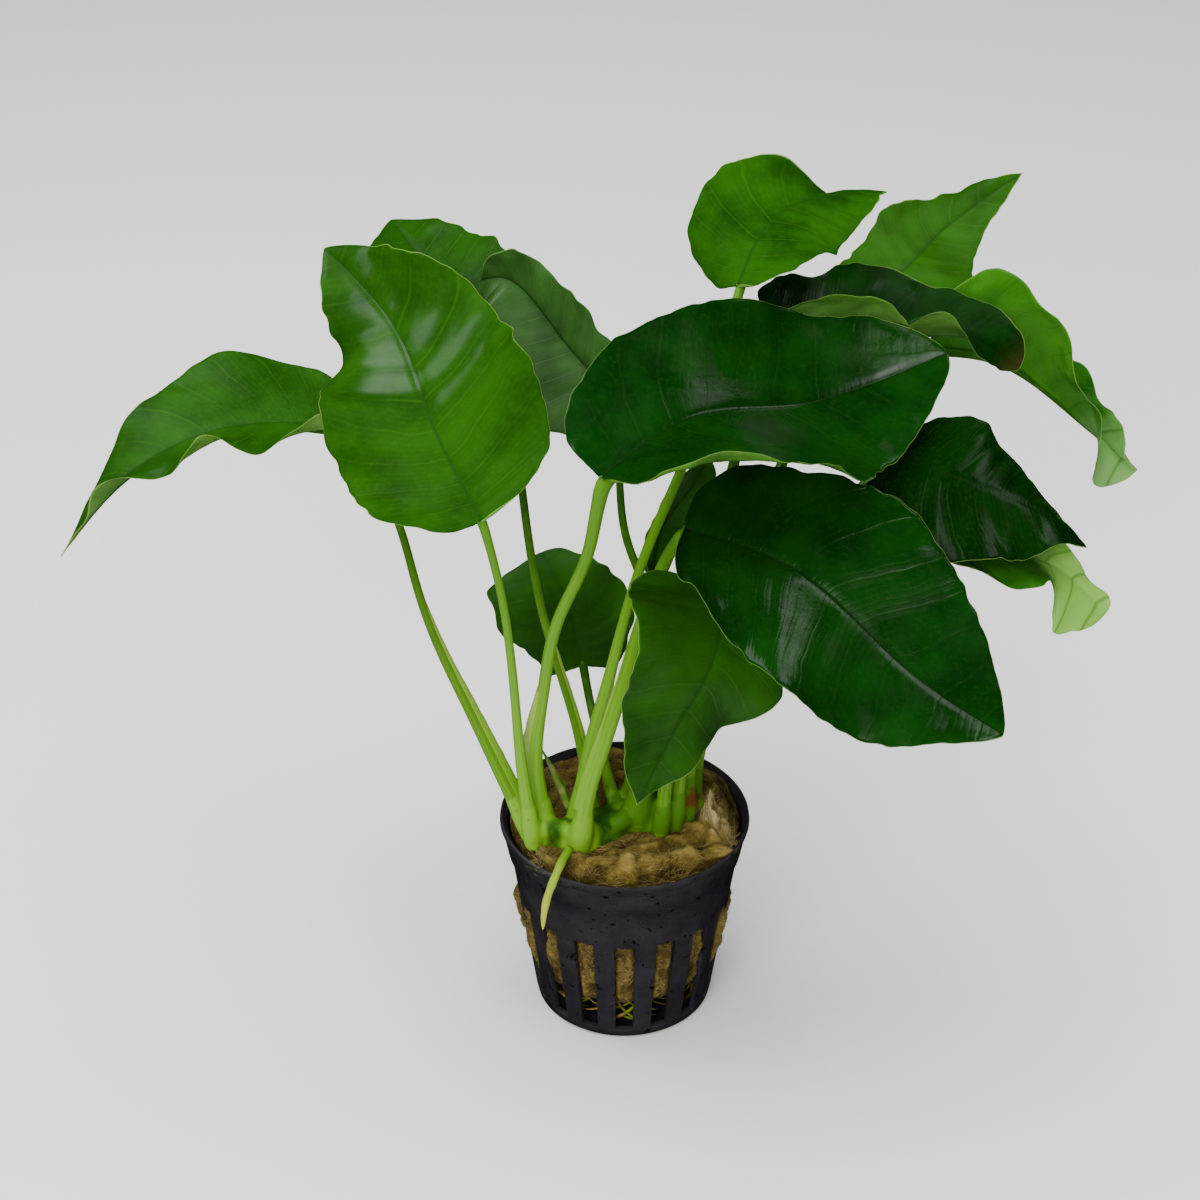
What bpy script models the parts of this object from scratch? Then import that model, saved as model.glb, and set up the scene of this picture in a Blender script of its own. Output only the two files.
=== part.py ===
# A potted anubias barteri: net pot, rock wool plug, creeping rhizome, aerial root,
# fifteen leaves on their stalks and one dry scale.
# Sizes here are millimetres, and add_object turns them into metres.
# Origin: middle of the pot's underside, +Z up. The plant is seen from -Y.

import math

import bmesh
import bpy
import numpy as np

MM = 0.001

# Looks: red, green, blue, then roughness
POT_LOOK = (0.030, 0.028, 0.036, 0.40)
WOOL_LOOK = (0.20, 0.14, 0.05, 0.90)
RHIZOME_LOOK = (0.22, 0.30, 0.03, 0.45)
ROOT_LOOK = (0.50, 0.50, 0.06, 0.50)
SCALE_LOOK = (0.45, 0.50, 0.16, 0.60)
STALK_LOOK = (0.16, 0.38, 0.03, 0.40)
DARK_GREEN = (0.010, 0.080, 0.004, 0.30)
MIDDLE_GREEN = (0.020, 0.150, 0.006, 0.30)
BRIGHT_GREEN = (0.060, 0.280, 0.015, 0.35)

# Pot
POT_HEIGHT = 46.5
POT_BASE_RADIUS = 18.9
POT_RIM_RADIUS = 26.5
POT_WALL = 1.2
COLLAR_HEIGHT = 38.0
COLLAR_RADIUS = 24.3
COLLAR_STEP = 0.6
COLLAR_EDGE = 0.5
LIP_HEIGHT = 1.2
LIP_ROUND = 0.3
FOOT_ROUND = 0.8
FLOOR_TOP = 1.6
POT_SEGMENTS = 64
SLOT_COUNT = 16
SLOT_WIDTH = 4.3
SLOT_BOTTOM = 2.6
SLOT_TOP = 28.0
SLOT_CUT_DEPTH = 6.0
BAND_HEIGHT = 30.0

# Gap kept between pieces that touch in the real plant
GAP = 0.35

# Rock wool plug
WOOL_TOP = 46.0
WOOL_EDGE_TOP = 44.5
WOOL_SEGMENTS = 28
WOOL_TOP_RINGS = [0.93, 0.7, 0.45, 0.2]
WOOL_LUMPS = [
    # x, y, height, spread
    (12, 16, 4.0, 7.0),
    (19, -8, 3.0, 5.0),
    (-12, -18, 1.2, 5.0),
    (-14, 10, 1.5, 6.0),
]

# Rhizome: route and radius at each point of it
RHIZOME_ROUTE = [
    (-19.5, -9, 48.5), (-14, -10, 47), (-7, -9, 47),
    (0, -3, 46.5), (8, -4, 47), (15, -3, 48),
]
RHIZOME_RADII = [2.8, 4.8, 5.2, 4.6, 5.0, 3.4]

# Aerial root: over the rim and down the outside of the pot
ROOT_ROUTE = [
    (-12, -17, 48.8), (-13, -20.5, 49.6), (-14.2, -24.3, 48.6),
    (-16.2, -25.8, 43), (-17, -26, 35.5),
]
ROOT_RADII = [1.1, 1.1, 1.0, 0.9, 0.4]

# Dry scale behind the centre stalks
SCALE_ROUTE = [(-12.4, -1.5, 52), (-15.5, 1.0, 57), (-18, 3.0, 62)]
SCALE_RADII = [1.9, 1.5, 0.5]

# Blades and stalks. Stations are shares of the length, columns shares of the half width.
BLADE_THICKNESS = 0.8
BLADE_STATIONS = [0, 0.03, 0.08, 0.16, 0.27, 0.4, 0.54, 0.68, 0.82, 0.93, 1]
BLADE_COLUMNS = [-1, -0.6, -0.25, 0, 0.25, 0.6, 1]
MIDRIB_STEPS = 61
LOBE_SHARE = 0.08
ROW_LEAD = 1.5
ROW_SWEEP = 1.3
RIPPLE_GROWTH = 2.5
RIPPLE_FADE = 1.6
STALK_SIDES = 7
STALK_RINGS = 13
STALK_TO_BLADE = 2.8

# Leaves. midrib: route from the joint to the tip. facing: azimuth and elevation of the upper
# face at the joint, the middle and the tip. half, fold, ripple, lag: half width, upward fold in
# degrees, height of the edge ripple and its start, each left then right of the midrib as seen
# from the joint. lobe: how far the base reaches back past the joint. taper: below 1 the tip is
# blunt, above 1 it is long. stalk: route from the rhizome to just under the joint. thick: stalk
# radii at equal steps from the foot to the top.
LEAVES = {
    "far_left": dict(
        midrib=[(-58, 26, 125), (-79, 23, 127), (-100, 17, 120), (-116, 13, 102)],
        facing=[(95, 77), (120, 83), (158, 51)],
        half=(18, 22), fold=(9, 23), ripple=(-2, 1), ripples=3.6, lag=(0.25, 0.13),
        lobe=2, taper=1.5,
        stalk=[(-20.8, -8.8, 49.6), (-26.8, -3.7, 61.2), (-32.7, 1.5, 72.6), (-38.6, 6.8, 83.9),
               (-43.2, 12.5, 95.6), (-47.0, 18.3, 107.6)],
        thick=(1.58, 1.25, 1.05, 0.92, 0.84, 0.84), green=MIDDLE_GREEN),
    "front_left": dict(
        midrib=[(-28, -13, 126), (-39, 9, 137), (-47, 30, 146), (-62, 48, 155)],
        facing=[(-90, 44), (-103, 37), (-105, 44)],
        half=(21, 24), fold=(4, 9), ripple=(-3, 3), ripples=2.5, lag=(0.5, 0.3),
        lobe=3, taper=0.8,
        stalk=[(-19.3, -13.0, 50.5), (-21.2, -12.7, 66.9), (-22.2, -12.3, 81.4),
               (-23.2, -12.0, 95.9), (-24.9, -12.4, 110.4)],
        thick=(1.70, 1.26, 0.98, 0.90, 0.85, 0.88), green=MIDDLE_GREEN),
    "back_left": dict(
        midrib=[(-25, 36, 141), (-36, 49, 145), (-44, 61, 148), (-50, 73, 150)],
        facing=[(-90, 55), (-100, 60), (-110, 70)],
        half=(17, 14), fold=(10, 5), ripple=(-1, -1), ripples=2.8, lag=(0.5, 0.5),
        lobe=5, taper=0.85,
        stalk=[(-7.0, -0.3, 49.0), (-9.9, 7.6, 61.3), (-13.7, 12.0, 74.2), (-17.4, 15.5, 87.5),
               (-19.9, 19.8, 100.7), (-21.6, 24.7, 113.9)],
        thick=(1.25, 0.93, 0.90, 0.90, 0.82, 0.80), green=MIDDLE_GREEN),
    "back_middle": dict(
        midrib=[(-2, 23, 134), (-14, 34, 143), (-24, 42, 151), (-30, 47, 148)],
        facing=[(-113, 49), (-95, 50), (-119, 52)],
        half=(18, 10), fold=(8, 48), ripple=(0, -1.5), ripples=2.4, lag=(0.5, 0.7),
        lobe=5, taper=0.8,
        stalk=[(0.7, 1.5, 49.6), (3.1, 6.0, 64.0), (4.7, 9.6, 77.3), (5.2, 12.5, 90.8),
               (0.5, 16.8, 102.9), (-1.2, 21.7, 115.6)],
        thick=(1.25, 1.03, 0.96, 0.90, 0.80, 0.77), green=DARK_GREEN),
    "centre": dict(
        midrib=[(-5, -10, 134), (12, 4, 139), (35, 21, 133), (66, 34, 138)],
        facing=[(-91, 85), (-83, 62), (-82, 58)],
        half=(24, 28), fold=(16, 21), ripple=(-1, -1.5), ripples=2.5, lag=(0.4, 0.4),
        lobe=3, taper=0.66,
        stalk=[(-17.0, -8.0, 48.8), (-18.7, -8.4, 66.0), (-16.7, -8.7, 83.2),
               (-13.7, -9.2, 100.3), (-7.6, -9.9, 116.5), (-6.2, -10.0, 124.0)],
        thick=(2.24, 1.78, 1.30, 1.20, 1.21, 1.45), green=DARK_GREEN),
    "front_right": dict(
        midrib=[(11, -13, 124), (34, -19, 117), (53, -31, 104), (71, -44, 97)],
        facing=[(-45, 51), (-68, 55), (-55, 40)],
        half=(24, 27), fold=(6, 13), ripple=(0, 3), ripples=2.2, lag=(0.5, 0.1),
        lobe=3, taper=0.7,
        stalk=[(-9.4, -13.7, 49.5), (-7.6, -13.0, 62.1), (-5.2, -11.5, 69.9), (-2.7, -9.0, 77.3),
               (-0.2, -5.9, 84.5), (2.1, -2.8, 91.9), (7.0, -2.0, 108.0)],
        thick=(2.11, 1.75, 1.60, 1.40, 1.25, 1.2), green=DARK_GREEN),
    "hanging": dict(
        midrib=[(19, -7, 106), (17, -19, 98), (10, -25, 86), (2, -28, 69)],
        facing=[(-91, 21), (-61, 5), (-77, 10)],
        half=(17, 21), fold=(5, 6), ripple=(2.5, -1.5), ripples=2.6, lag=(0.2, 0.7),
        lobe=6, taper=1.15,
        stalk=[(7.5, -9.5, 49.9), (8.8, -9.5, 64.8), (11.1, -9, 76.4), (13.5, -7.5, 82.8),
               (16, -5, 88)],
        thick=(1.6, 1.4, 1.3, 1.2, 1.1), green=MIDDLE_GREEN),
    "low_back": dict(
        midrib=[(-9, 36, 60), (-11, 38, 70), (-14, 40, 78), (-18, 46, 83)],
        facing=[(-100, 55), (-90, 65), (-80, 58)],
        half=(18, 14), fold=(0, 8), ripple=(1, 1), ripples=2.4, lag=(0.4, 0.5),
        lobe=3, taper=0.5,
        stalk=[(-3, 2.5, 50.5), (-5, 16, 52), (-7, 27, 54)],
        thick=(1.2, 1.0, 0.9), green=DARK_GREEN),
    "top_middle": dict(
        midrib=[(23, 39, 151), (30, 50, 160), (43, 63, 160), (56, 74, 156)],
        facing=[(-131, 38), (-100, 52), (-114, 75)],
        half=(16, 14), fold=(-10, 10), ripple=(-2.5, 3), ripples=1.1, lag=(0.3, 0.3),
        lobe=3, taper=0.9,
        stalk=[(-10.0, -5.7, 50.5), (-6.9, -2.9, 67.0), (-3.2, 0.2, 81.3), (0.4, 4.3, 95.3),
               (5.3, 10.0, 108.3), (11.3, 18.0, 119.6)],
        thick=(1.73, 1.42, 1.05, 1.02, 0.97, 0.92), green=MIDDLE_GREEN),
    "top_right": dict(
        midrib=[(50, 71, 130), (63, 84, 134), (72, 100, 135), (90, 107, 146)],
        facing=[(-100, 60), (-76, 59), (-62, 60)],
        half=(12, 12), fold=(3, 8), ripple=(-2.5, 1), ripples=2, lag=(0.7, 0.8),
        lobe=6, taper=1.0,
        stalk=[(12.4, 2.5, 49.1), (14, 10, 54.2), (17.6, 19, 62.3), (23, 30, 75.6), (35, 52, 104)],
        thick=(1.9, 1.5, 1.3, 1.15, 1), green=MIDDLE_GREEN),
    "arching": dict(
        midrib=[(29, 42, 142), (51, 53, 131), (74, 57, 130), (84, 52, 125)],
        facing=[(-85, 88), (-95, 80), (-120, 55)],
        half=(16, 23), fold=(30, 48), ripple=(-1.5, 1.5), ripples=2.6, lag=(0.25, 0.75),
        lobe=3, taper=0.55,
        stalk=[(7.5, 2.5, 50), (14, 14, 78), (22, 28, 112)],
        thick=(1.8, 1.3, 1.0), green=DARK_GREEN),
    "bright_right": dict(
        midrib=[(67, 66, 123), (83, 70, 118), (100, 60, 108), (112, 54, 99)],
        facing=[(132, 27), (75, 75), (-75, -33)],
        half=(8, 20), fold=(60, 49), ripple=(-1.5, 2), ripples=3.4, lag=(0.8, -0.4),
        lobe=3.5, taper=0.55,
        stalk=[(14.2, -0.5, 50.8), (15.1, 4.5, 56.3), (17.5, 11, 62.1), (23.8, 20, 71.9),
               (36.9, 34, 86.8), (51, 47, 98)],
        thick=(1.7, 1.45, 1.3, 1.2, 1.1, 1), green=BRIGHT_GREEN),
    "dark_right": dict(
        midrib=[(53, 16, 124), (71, 7, 122), (87, 6, 114), (93, 5, 109)],
        facing=[(-71, 61), (-144, 67), (-5, 38)],
        half=(18, 20), fold=(-11, -3), ripple=(0.5, 2), ripples=2.7, lag=(0.4, 0.9),
        lobe=3, taper=1.0,
        stalk=[(12.8, -4.2, 51.1), (13.2, -1.5, 59.8), (15.4, 1, 69), (21.2, 4, 81.2),
               (29.9, 7, 92.1), (40, 10, 102)],
        thick=(1.9, 1.6, 1.4, 1.35, 1.3, 1.2), green=DARK_GREEN),
    "low_right": dict(
        midrib=[(57, 3, 116), (70, 4, 109), (84, 7, 105), (98, 4, 94)],
        facing=[(-97, 67), (-64, 88), (-50, 12)],
        half=(6, 15), fold=(6, 2), ripple=(-2, -2), ripples=2.5, lag=(0.1, 0.2),
        lobe=3, taper=0.4,
        stalk=[(10.7, -7.2, 50.8), (11.6, -6.3, 62.5), (13.9, -5.8, 73.7), (20.8, -5, 84.5),
               (31.1, -2.5, 92.6), (42, 0, 99)],
        thick=(1.5, 1.3, 1.2, 1.1, 1.1, 1), green=BRIGHT_GREEN),
    "young": dict(
        midrib=[(6, 21, 94), (8, 24, 103), (13, 24, 111), (17, 28, 117)],
        facing=[(-45, 20), (-50, 20), (-60, 20)],
        half=(7, 5), fold=(25, 25), ripple=(-0.5, -0.5), ripples=2.5, lag=(0.5, 0.5),
        lobe=3, taper=0.5,
        stalk=[(2.5, -5.2, 49.8), (4.2, -3, 59.6), (7.1, 1, 68.2), (9.8, 7, 75), (10.5, 13, 80)],
        thick=(2.6, 2.2, 1.7, 1.4, 1.2), green=MIDDLE_GREEN),
}


def clear_scene():
    for old in list(bpy.data.objects):
        bpy.data.objects.remove(old)


def material(name, look):
    made = bpy.data.materials.new(name)
    made.use_nodes = True
    shader = made.node_tree.nodes["Principled BSDF"]
    shader.inputs["Base Color"].default_value = (*look[:3], 1.0)
    shader.inputs["Roughness"].default_value = look[3]
    shader.inputs["Metallic"].default_value = 0.0
    return made


def add_object(name, points, faces, look, smooth_below=50):
    mesh = bpy.data.meshes.new(name)
    mesh.from_pydata([tuple(float(c) * MM for c in p) for p in points], [], faces)
    mesh.shade_smooth()
    mesh.set_sharp_from_angle(angle=math.radians(smooth_below))
    mesh.materials.append(material(name, look))
    thing = bpy.data.objects.new(name, mesh)
    bpy.context.scene.collection.objects.link(thing)
    return thing


def hide_cutter(cutter):
    cutter.hide_render = True
    cutter.display_type = "WIRE"


def cut(thing, cutter):
    step = thing.modifiers.new("cut " + cutter.name, "BOOLEAN")
    step.operation = "DIFFERENCE"
    step.object = cutter


# Curves and bands
def walked(points):
    return np.concatenate([[0.0], np.cumsum(np.linalg.norm(np.diff(points, axis=0), axis=1))])


def smooth_route(points, count):
    # natural cubic curve through the points, at equal steps along it
    points = np.array(points, float)
    knots = walked(points)
    steps = np.diff(knots)
    last = len(points) - 1
    system = np.eye(last + 1)
    change = np.zeros_like(points)
    for i in range(1, last):
        system[i, i - 1:i + 2] = steps[i - 1], 2 * (steps[i - 1] + steps[i]), steps[i]
        slope_after = (points[i + 1] - points[i]) / steps[i]
        slope_before = (points[i] - points[i - 1]) / steps[i - 1]
        change[i] = 6 * (slope_after - slope_before)
    bend = np.linalg.solve(system, change)

    def at(distance):
        i = np.clip(np.searchsorted(knots, distance, side="right") - 1, 0, last - 1)
        before = ((knots[i + 1] - distance) / steps[i])[:, None]
        after = 1 - before
        size = (steps[i] ** 2 / 6)[:, None]
        bulge = (before ** 3 - before) * bend[i] + (after ** 3 - after) * bend[i + 1]
        return before * points[i] + after * points[i + 1] + bulge * size

    fine = np.linspace(0, knots[-1], 8 * count)
    travelled = walked(at(fine))
    return at(np.interp(np.linspace(0, travelled[-1], count), travelled, fine))


def unit(vectors):
    return vectors / np.linalg.norm(vectors, axis=-1, keepdims=True)


def add_tube(name, route, radii, look, sides=STALK_SIDES, rings=STALK_RINGS, grow=0.0):
    # a round tube along a route, closed by a flat cap at each end
    centres = smooth_route(route, rings)
    along = unit(np.gradient(centres, axis=0))
    centres[0] -= along[0] * grow
    centres[-1] += along[-1] * grow
    across = unit(np.cross(along, [0.0, 1.0, 0.0]))
    over = np.cross(along, across)
    radius = np.interp(np.linspace(0, 1, rings), np.linspace(0, 1, len(radii)), radii) + grow
    points = []
    for ring in range(rings):
        for side in range(sides):
            turn = 2 * math.pi * side / sides
            arm = across[ring] * math.cos(turn) + over[ring] * math.sin(turn)
            points.append(centres[ring] + radius[ring] * arm)
    faces = [tuple(reversed(range(sides))), tuple(range((rings - 1) * sides, rings * sides))]
    for ring in range(rings - 1):
        for side in range(sides):
            a = ring * sides + side
            b = ring * sides + (side + 1) % sides
            faces.append((a, b, b + sides, a + sides))
    return add_object(name, points, faces, look)


# Pot
def wall_radius(height):
    return POT_BASE_RADIUS + (COLLAR_RADIUS - POT_BASE_RADIUS) * height / COLLAR_HEIGHT


def pot_profile():
    # outside from the base up, over the lip, then down the inside
    lip = POT_RIM_RADIUS
    collar = COLLAR_RADIUS + COLLAR_STEP
    band = wall_radius(BAND_HEIGHT)
    outside = [
        (0, 0), (POT_BASE_RADIUS - FOOT_ROUND, 0), (POT_BASE_RADIUS, FOOT_ROUND),
        (band, BAND_HEIGHT), (COLLAR_RADIUS, COLLAR_HEIGHT), (collar, COLLAR_HEIGHT + COLLAR_EDGE),
        (lip - COLLAR_EDGE, POT_HEIGHT - LIP_HEIGHT - FOOT_ROUND), (lip, POT_HEIGHT - LIP_HEIGHT),
        (lip - LIP_ROUND, POT_HEIGHT - LIP_ROUND), (lip - 3 * LIP_ROUND, POT_HEIGHT),
    ]
    inside = [
        (lip - POT_WALL - LIP_ROUND, POT_HEIGHT - 2 * LIP_ROUND),
        (collar - POT_WALL, COLLAR_HEIGHT + COLLAR_EDGE),
        (band - POT_WALL, BAND_HEIGHT), (POT_BASE_RADIUS - POT_WALL, FLOOR_TOP), (0, FLOOR_TOP),
    ]
    return outside + inside


def turned(name, profile, segments, look):
    # a solid of revolution whose profile starts and ends on the axis
    points = [(0, 0, profile[0][1])]
    rings = profile[1:-1]
    for radius, height in rings:
        for segment in range(segments):
            turn = 2 * math.pi * segment / segments
            points.append((radius * math.cos(turn), radius * math.sin(turn), height))
    points.append((0, 0, profile[-1][1]))
    faces = []
    for segment in range(segments):
        after = (segment + 1) % segments
        faces.append((0, 1 + after, 1 + segment))
        for ring in range(len(rings) - 1):
            a = 1 + ring * segments
            faces.append((a + segment, a + after, a + segments + after, a + segments + segment))
        a = 1 + (len(rings) - 1) * segments
        faces.append((a + segment, a + after, len(points) - 1))
    return add_object(name, points, faces, look, smooth_below=35)


def make_pot():
    pot = turned("pot", pot_profile(), POT_SEGMENTS, POT_LOOK)
    # one wedge of wall for each slot, all in one cutter
    middle = (SLOT_BOTTOM + SLOT_TOP) / 2
    lean = math.atan((COLLAR_RADIUS - POT_BASE_RADIUS) / COLLAR_HEIGHT)
    shapes = bmesh.new()
    for slot in range(SLOT_COUNT):
        turn = -math.pi / 2 + 2 * math.pi * slot / SLOT_COUNT
        box = bmesh.ops.create_cube(shapes, size=1.0)["verts"]
        for corner in box:
            out = corner.co.x * SLOT_CUT_DEPTH + wall_radius(middle)
            side = corner.co.y * SLOT_WIDTH
            up = corner.co.z * (SLOT_TOP - SLOT_BOTTOM)
            out += up * math.tan(lean)
            x = out * math.cos(turn) - side * math.sin(turn)
            y = out * math.sin(turn) + side * math.cos(turn)
            corner.co = (x * MM, y * MM, (up + middle) * MM)
    mesh = bpy.data.meshes.new("pot_slots")
    shapes.to_mesh(mesh)
    shapes.free()
    slots = bpy.data.objects.new("pot_slots", mesh)
    bpy.context.scene.collection.objects.link(slots)
    hide_cutter(slots)
    cut(pot, slots)


# Rock wool
def wool_height(x, y):
    height = WOOL_TOP
    for cx, cy, rise, spread in WOOL_LUMPS:
        height += rise * math.exp(-((x - cx) ** 2 + (y - cy) ** 2) / spread ** 2)
    return height


def make_wool(clearance):
    # its fewer sides lie inside the pot's round wall, so the corners keep the gap
    inner = POT_WALL + GAP
    bottom = FLOOR_TOP + GAP
    edge = POT_RIM_RADIUS - inner - 2 * GAP
    sides = [
        (POT_BASE_RADIUS - inner - GAP, bottom), (wall_radius(BAND_HEIGHT) - inner, BAND_HEIGHT),
        (COLLAR_RADIUS + COLLAR_STEP - inner - GAP / 2, COLLAR_HEIGHT + COLLAR_EDGE),
        (edge, WOOL_EDGE_TOP),
    ]
    turns = [2 * math.pi * segment / WOOL_SEGMENTS for segment in range(WOOL_SEGMENTS)]
    points = [(0, 0, bottom)]
    for radius, height in sides:
        points += [(radius * math.cos(turn), radius * math.sin(turn), height) for turn in turns]
    for share in WOOL_TOP_RINGS:
        for turn in turns:
            x, y = edge * share * math.cos(turn), edge * share * math.sin(turn)
            points.append((x, y, wool_height(x, y)))
    points.append((0, 0, wool_height(0, 0)))
    rings = len(sides) + len(WOOL_TOP_RINGS)
    faces = []
    for segment in range(WOOL_SEGMENTS):
        after = (segment + 1) % WOOL_SEGMENTS
        faces.append((0, 1 + after, 1 + segment))
        for ring in range(rings - 1):
            a = 1 + ring * WOOL_SEGMENTS
            b = a + WOOL_SEGMENTS
            faces.append((a + segment, a + after, b + after, b + segment))
        a = 1 + (rings - 1) * WOOL_SEGMENTS
        faces.append((a + segment, a + after, len(points) - 1))
    wool = add_object("rock_wool", points, faces, WOOL_LOOK)
    cut(wool, clearance)


# Leaves
def facing_at(facing, share):
    # upper face direction, blended from the joint over the middle to the tip
    vectors = []
    for azimuth, elevation in facing:
        a, e = math.radians(azimuth), math.radians(elevation)
        vectors.append(np.array([math.cos(a) * math.cos(e), math.sin(a) * math.cos(e), math.sin(e)]))
    first = (1 - share) * (1 - 2 * share)
    middle = 4 * share * (1 - share)
    last = share * (2 * share - 1)
    return first[:, None] * vectors[0] + middle[:, None] * vectors[1] + last[:, None] * vectors[2]


def blade_surface(leaf, stations, columns):
    # middle surface of a blade: rows run from the left edge over the midrib to the right edge
    steps = MIDRIB_STEPS
    centre = smooth_route(leaf["midrib"], steps)
    length = walked(centre)[-1]
    along = unit(np.gradient(centre, axis=0))
    upper = facing_at(leaf["facing"], np.linspace(0, 1, steps))
    upper = unit(upper - (upper * along).sum(1)[:, None] * along)
    side = np.cross(along, upper)

    u = np.array(stations, float)[:, None]
    v = np.array(columns, float)[None, :]
    reach = np.abs(v)
    left = v < 0
    taper = leaf["taper"]
    widest = 0.5 / (0.5 + taper)
    width = np.sqrt(u) * (1 - u) ** taper / (math.sqrt(widest) * (1 - widest) ** taper)
    back = leaf["lobe"] / length * (u / LOBE_SHARE) * np.exp(1 - u / LOBE_SHARE)

    # a row leaves the midrib early and meets the edge further on, as the side veins do
    start = u ** ROW_LEAD
    station = start + (u - back - start) * reach ** ROW_SWEEP
    half = np.where(left, leaf["half"][0], leaf["half"][1])
    fold = np.radians(np.where(left, leaf["fold"][0], leaf["fold"][1]))
    lag = np.where(left, leaf["lag"][0], leaf["lag"][1])
    ripple = np.where(left, leaf["ripple"][0], leaf["ripple"][1])
    out = width * half * reach
    wave = ripple * np.sin(2 * math.pi * (leaf["ripples"] * u + lag))
    rise = out * np.sin(fold) + wave * reach ** RIPPLE_GROWTH * np.minimum(1, width * RIPPLE_FADE)
    spread = np.sign(v) * out * np.cos(fold)

    place = np.clip(station, 0, 1) * (steps - 1)
    low = np.minimum(place.astype(int), steps - 2)
    part = (place - low)[..., None]

    def along_midrib(values):
        return values[low] * (1 - part) + values[low + 1] * part

    overhang = np.minimum(station, 0)[..., None] * length * along[0]
    sideways = along_midrib(side) * spread[..., None]
    upwards = along_midrib(upper) * rise[..., None]
    return along_midrib(centre) + overhang + sideways + upwards


def make_blade(name, leaf):
    grid = blade_surface(leaf, BLADE_STATIONS, BLADE_COLUMNS)
    rows, columns = grid.shape[:2]
    points = [grid[0, 0]] + [p for row in grid[1:-1] for p in row] + [grid[-1, 0]]
    faces = []
    for column in range(columns - 1):
        faces.append((0, 2 + column, 1 + column))
        for row in range(rows - 3):
            a = 1 + row * columns + column
            faces.append((a, a + 1, a + 1 + columns, a + columns))
        a = 1 + (rows - 3) * columns + column
        faces.append((a, a + 1, len(points) - 1))
    blade = add_object("blade_" + name, points, faces, leaf["green"])
    thick = blade.modifiers.new("thickness", "SOLIDIFY")
    thick.thickness = BLADE_THICKNESS * MM
    thick.offset = 0.0


def make_stalk(name, leaf, clearance):
    # the stalk stops a little short of the joint, on the line from its last route point
    joint = np.array(leaf["midrib"][0], float)
    before = np.array(leaf["stalk"][-1], float)
    end = joint + unit(before - joint) * STALK_TO_BLADE
    stalk = add_tube("stalk_" + name, leaf["stalk"] + [tuple(end)], leaf["thick"], STALK_LOOK)
    cut(stalk, clearance)


def make_rhizome():
    add_tube("rhizome", RHIZOME_ROUTE, RHIZOME_RADII, RHIZOME_LOOK, sides=12, rings=14)
    # the same tube a gap wider, which is cut out of whatever lies on the rhizome
    clearance = add_tube("rhizome_clearance", RHIZOME_ROUTE, RHIZOME_RADII, RHIZOME_LOOK,
                         sides=12, rings=14, grow=GAP)
    hide_cutter(clearance)
    return clearance


clear_scene()
make_pot()
rhizome_clearance = make_rhizome()
make_wool(rhizome_clearance)
add_tube("aerial_root", ROOT_ROUTE, ROOT_RADII, ROOT_LOOK, sides=8, rings=12)
add_tube("dry_scale", SCALE_ROUTE, SCALE_RADII, SCALE_LOOK, sides=8, rings=5)
for leaf_name, leaf_shape in LEAVES.items():
    make_blade(leaf_name, leaf_shape)
    make_stalk(leaf_name, leaf_shape, rhizome_clearance)
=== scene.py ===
import math

import bpy
import numpy as np
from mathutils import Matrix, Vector, noise


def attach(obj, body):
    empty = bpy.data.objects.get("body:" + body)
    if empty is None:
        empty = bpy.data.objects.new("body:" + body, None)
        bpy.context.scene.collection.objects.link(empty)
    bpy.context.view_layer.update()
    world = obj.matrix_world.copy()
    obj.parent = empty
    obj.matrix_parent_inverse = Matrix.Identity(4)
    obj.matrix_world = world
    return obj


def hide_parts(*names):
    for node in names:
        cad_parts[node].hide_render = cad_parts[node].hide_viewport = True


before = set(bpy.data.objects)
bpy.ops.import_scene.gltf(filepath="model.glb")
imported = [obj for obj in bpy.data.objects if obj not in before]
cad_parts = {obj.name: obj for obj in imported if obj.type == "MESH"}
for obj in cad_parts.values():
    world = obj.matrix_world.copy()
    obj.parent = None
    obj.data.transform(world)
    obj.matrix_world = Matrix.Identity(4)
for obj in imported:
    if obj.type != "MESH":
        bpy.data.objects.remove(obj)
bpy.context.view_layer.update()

# Potted anubias barteri: leathery leaves on long stalks from a creeping rhizome,
# in a slotted net pot filled with rock wool. Sizes in the dictionaries are millimetres.
mm = 0.001
fullTurn = 2 * math.pi


# Small tools

def activate(piece):
    if bpy.context.object and bpy.context.object.mode != "OBJECT":
        bpy.ops.object.mode_set(mode="OBJECT")
    bpy.ops.object.select_all(action="DESELECT")
    piece.select_set(True)
    bpy.context.view_layer.objects.active = piece


def unit(vectors):
    return vectors / np.maximum(np.linalg.norm(vectors, axis=-1, keepdims=True), 1e-12)


def walked(points):
    return np.concatenate([[0.0], np.cumsum(np.linalg.norm(np.diff(points, axis=0), axis=1))])


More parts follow.
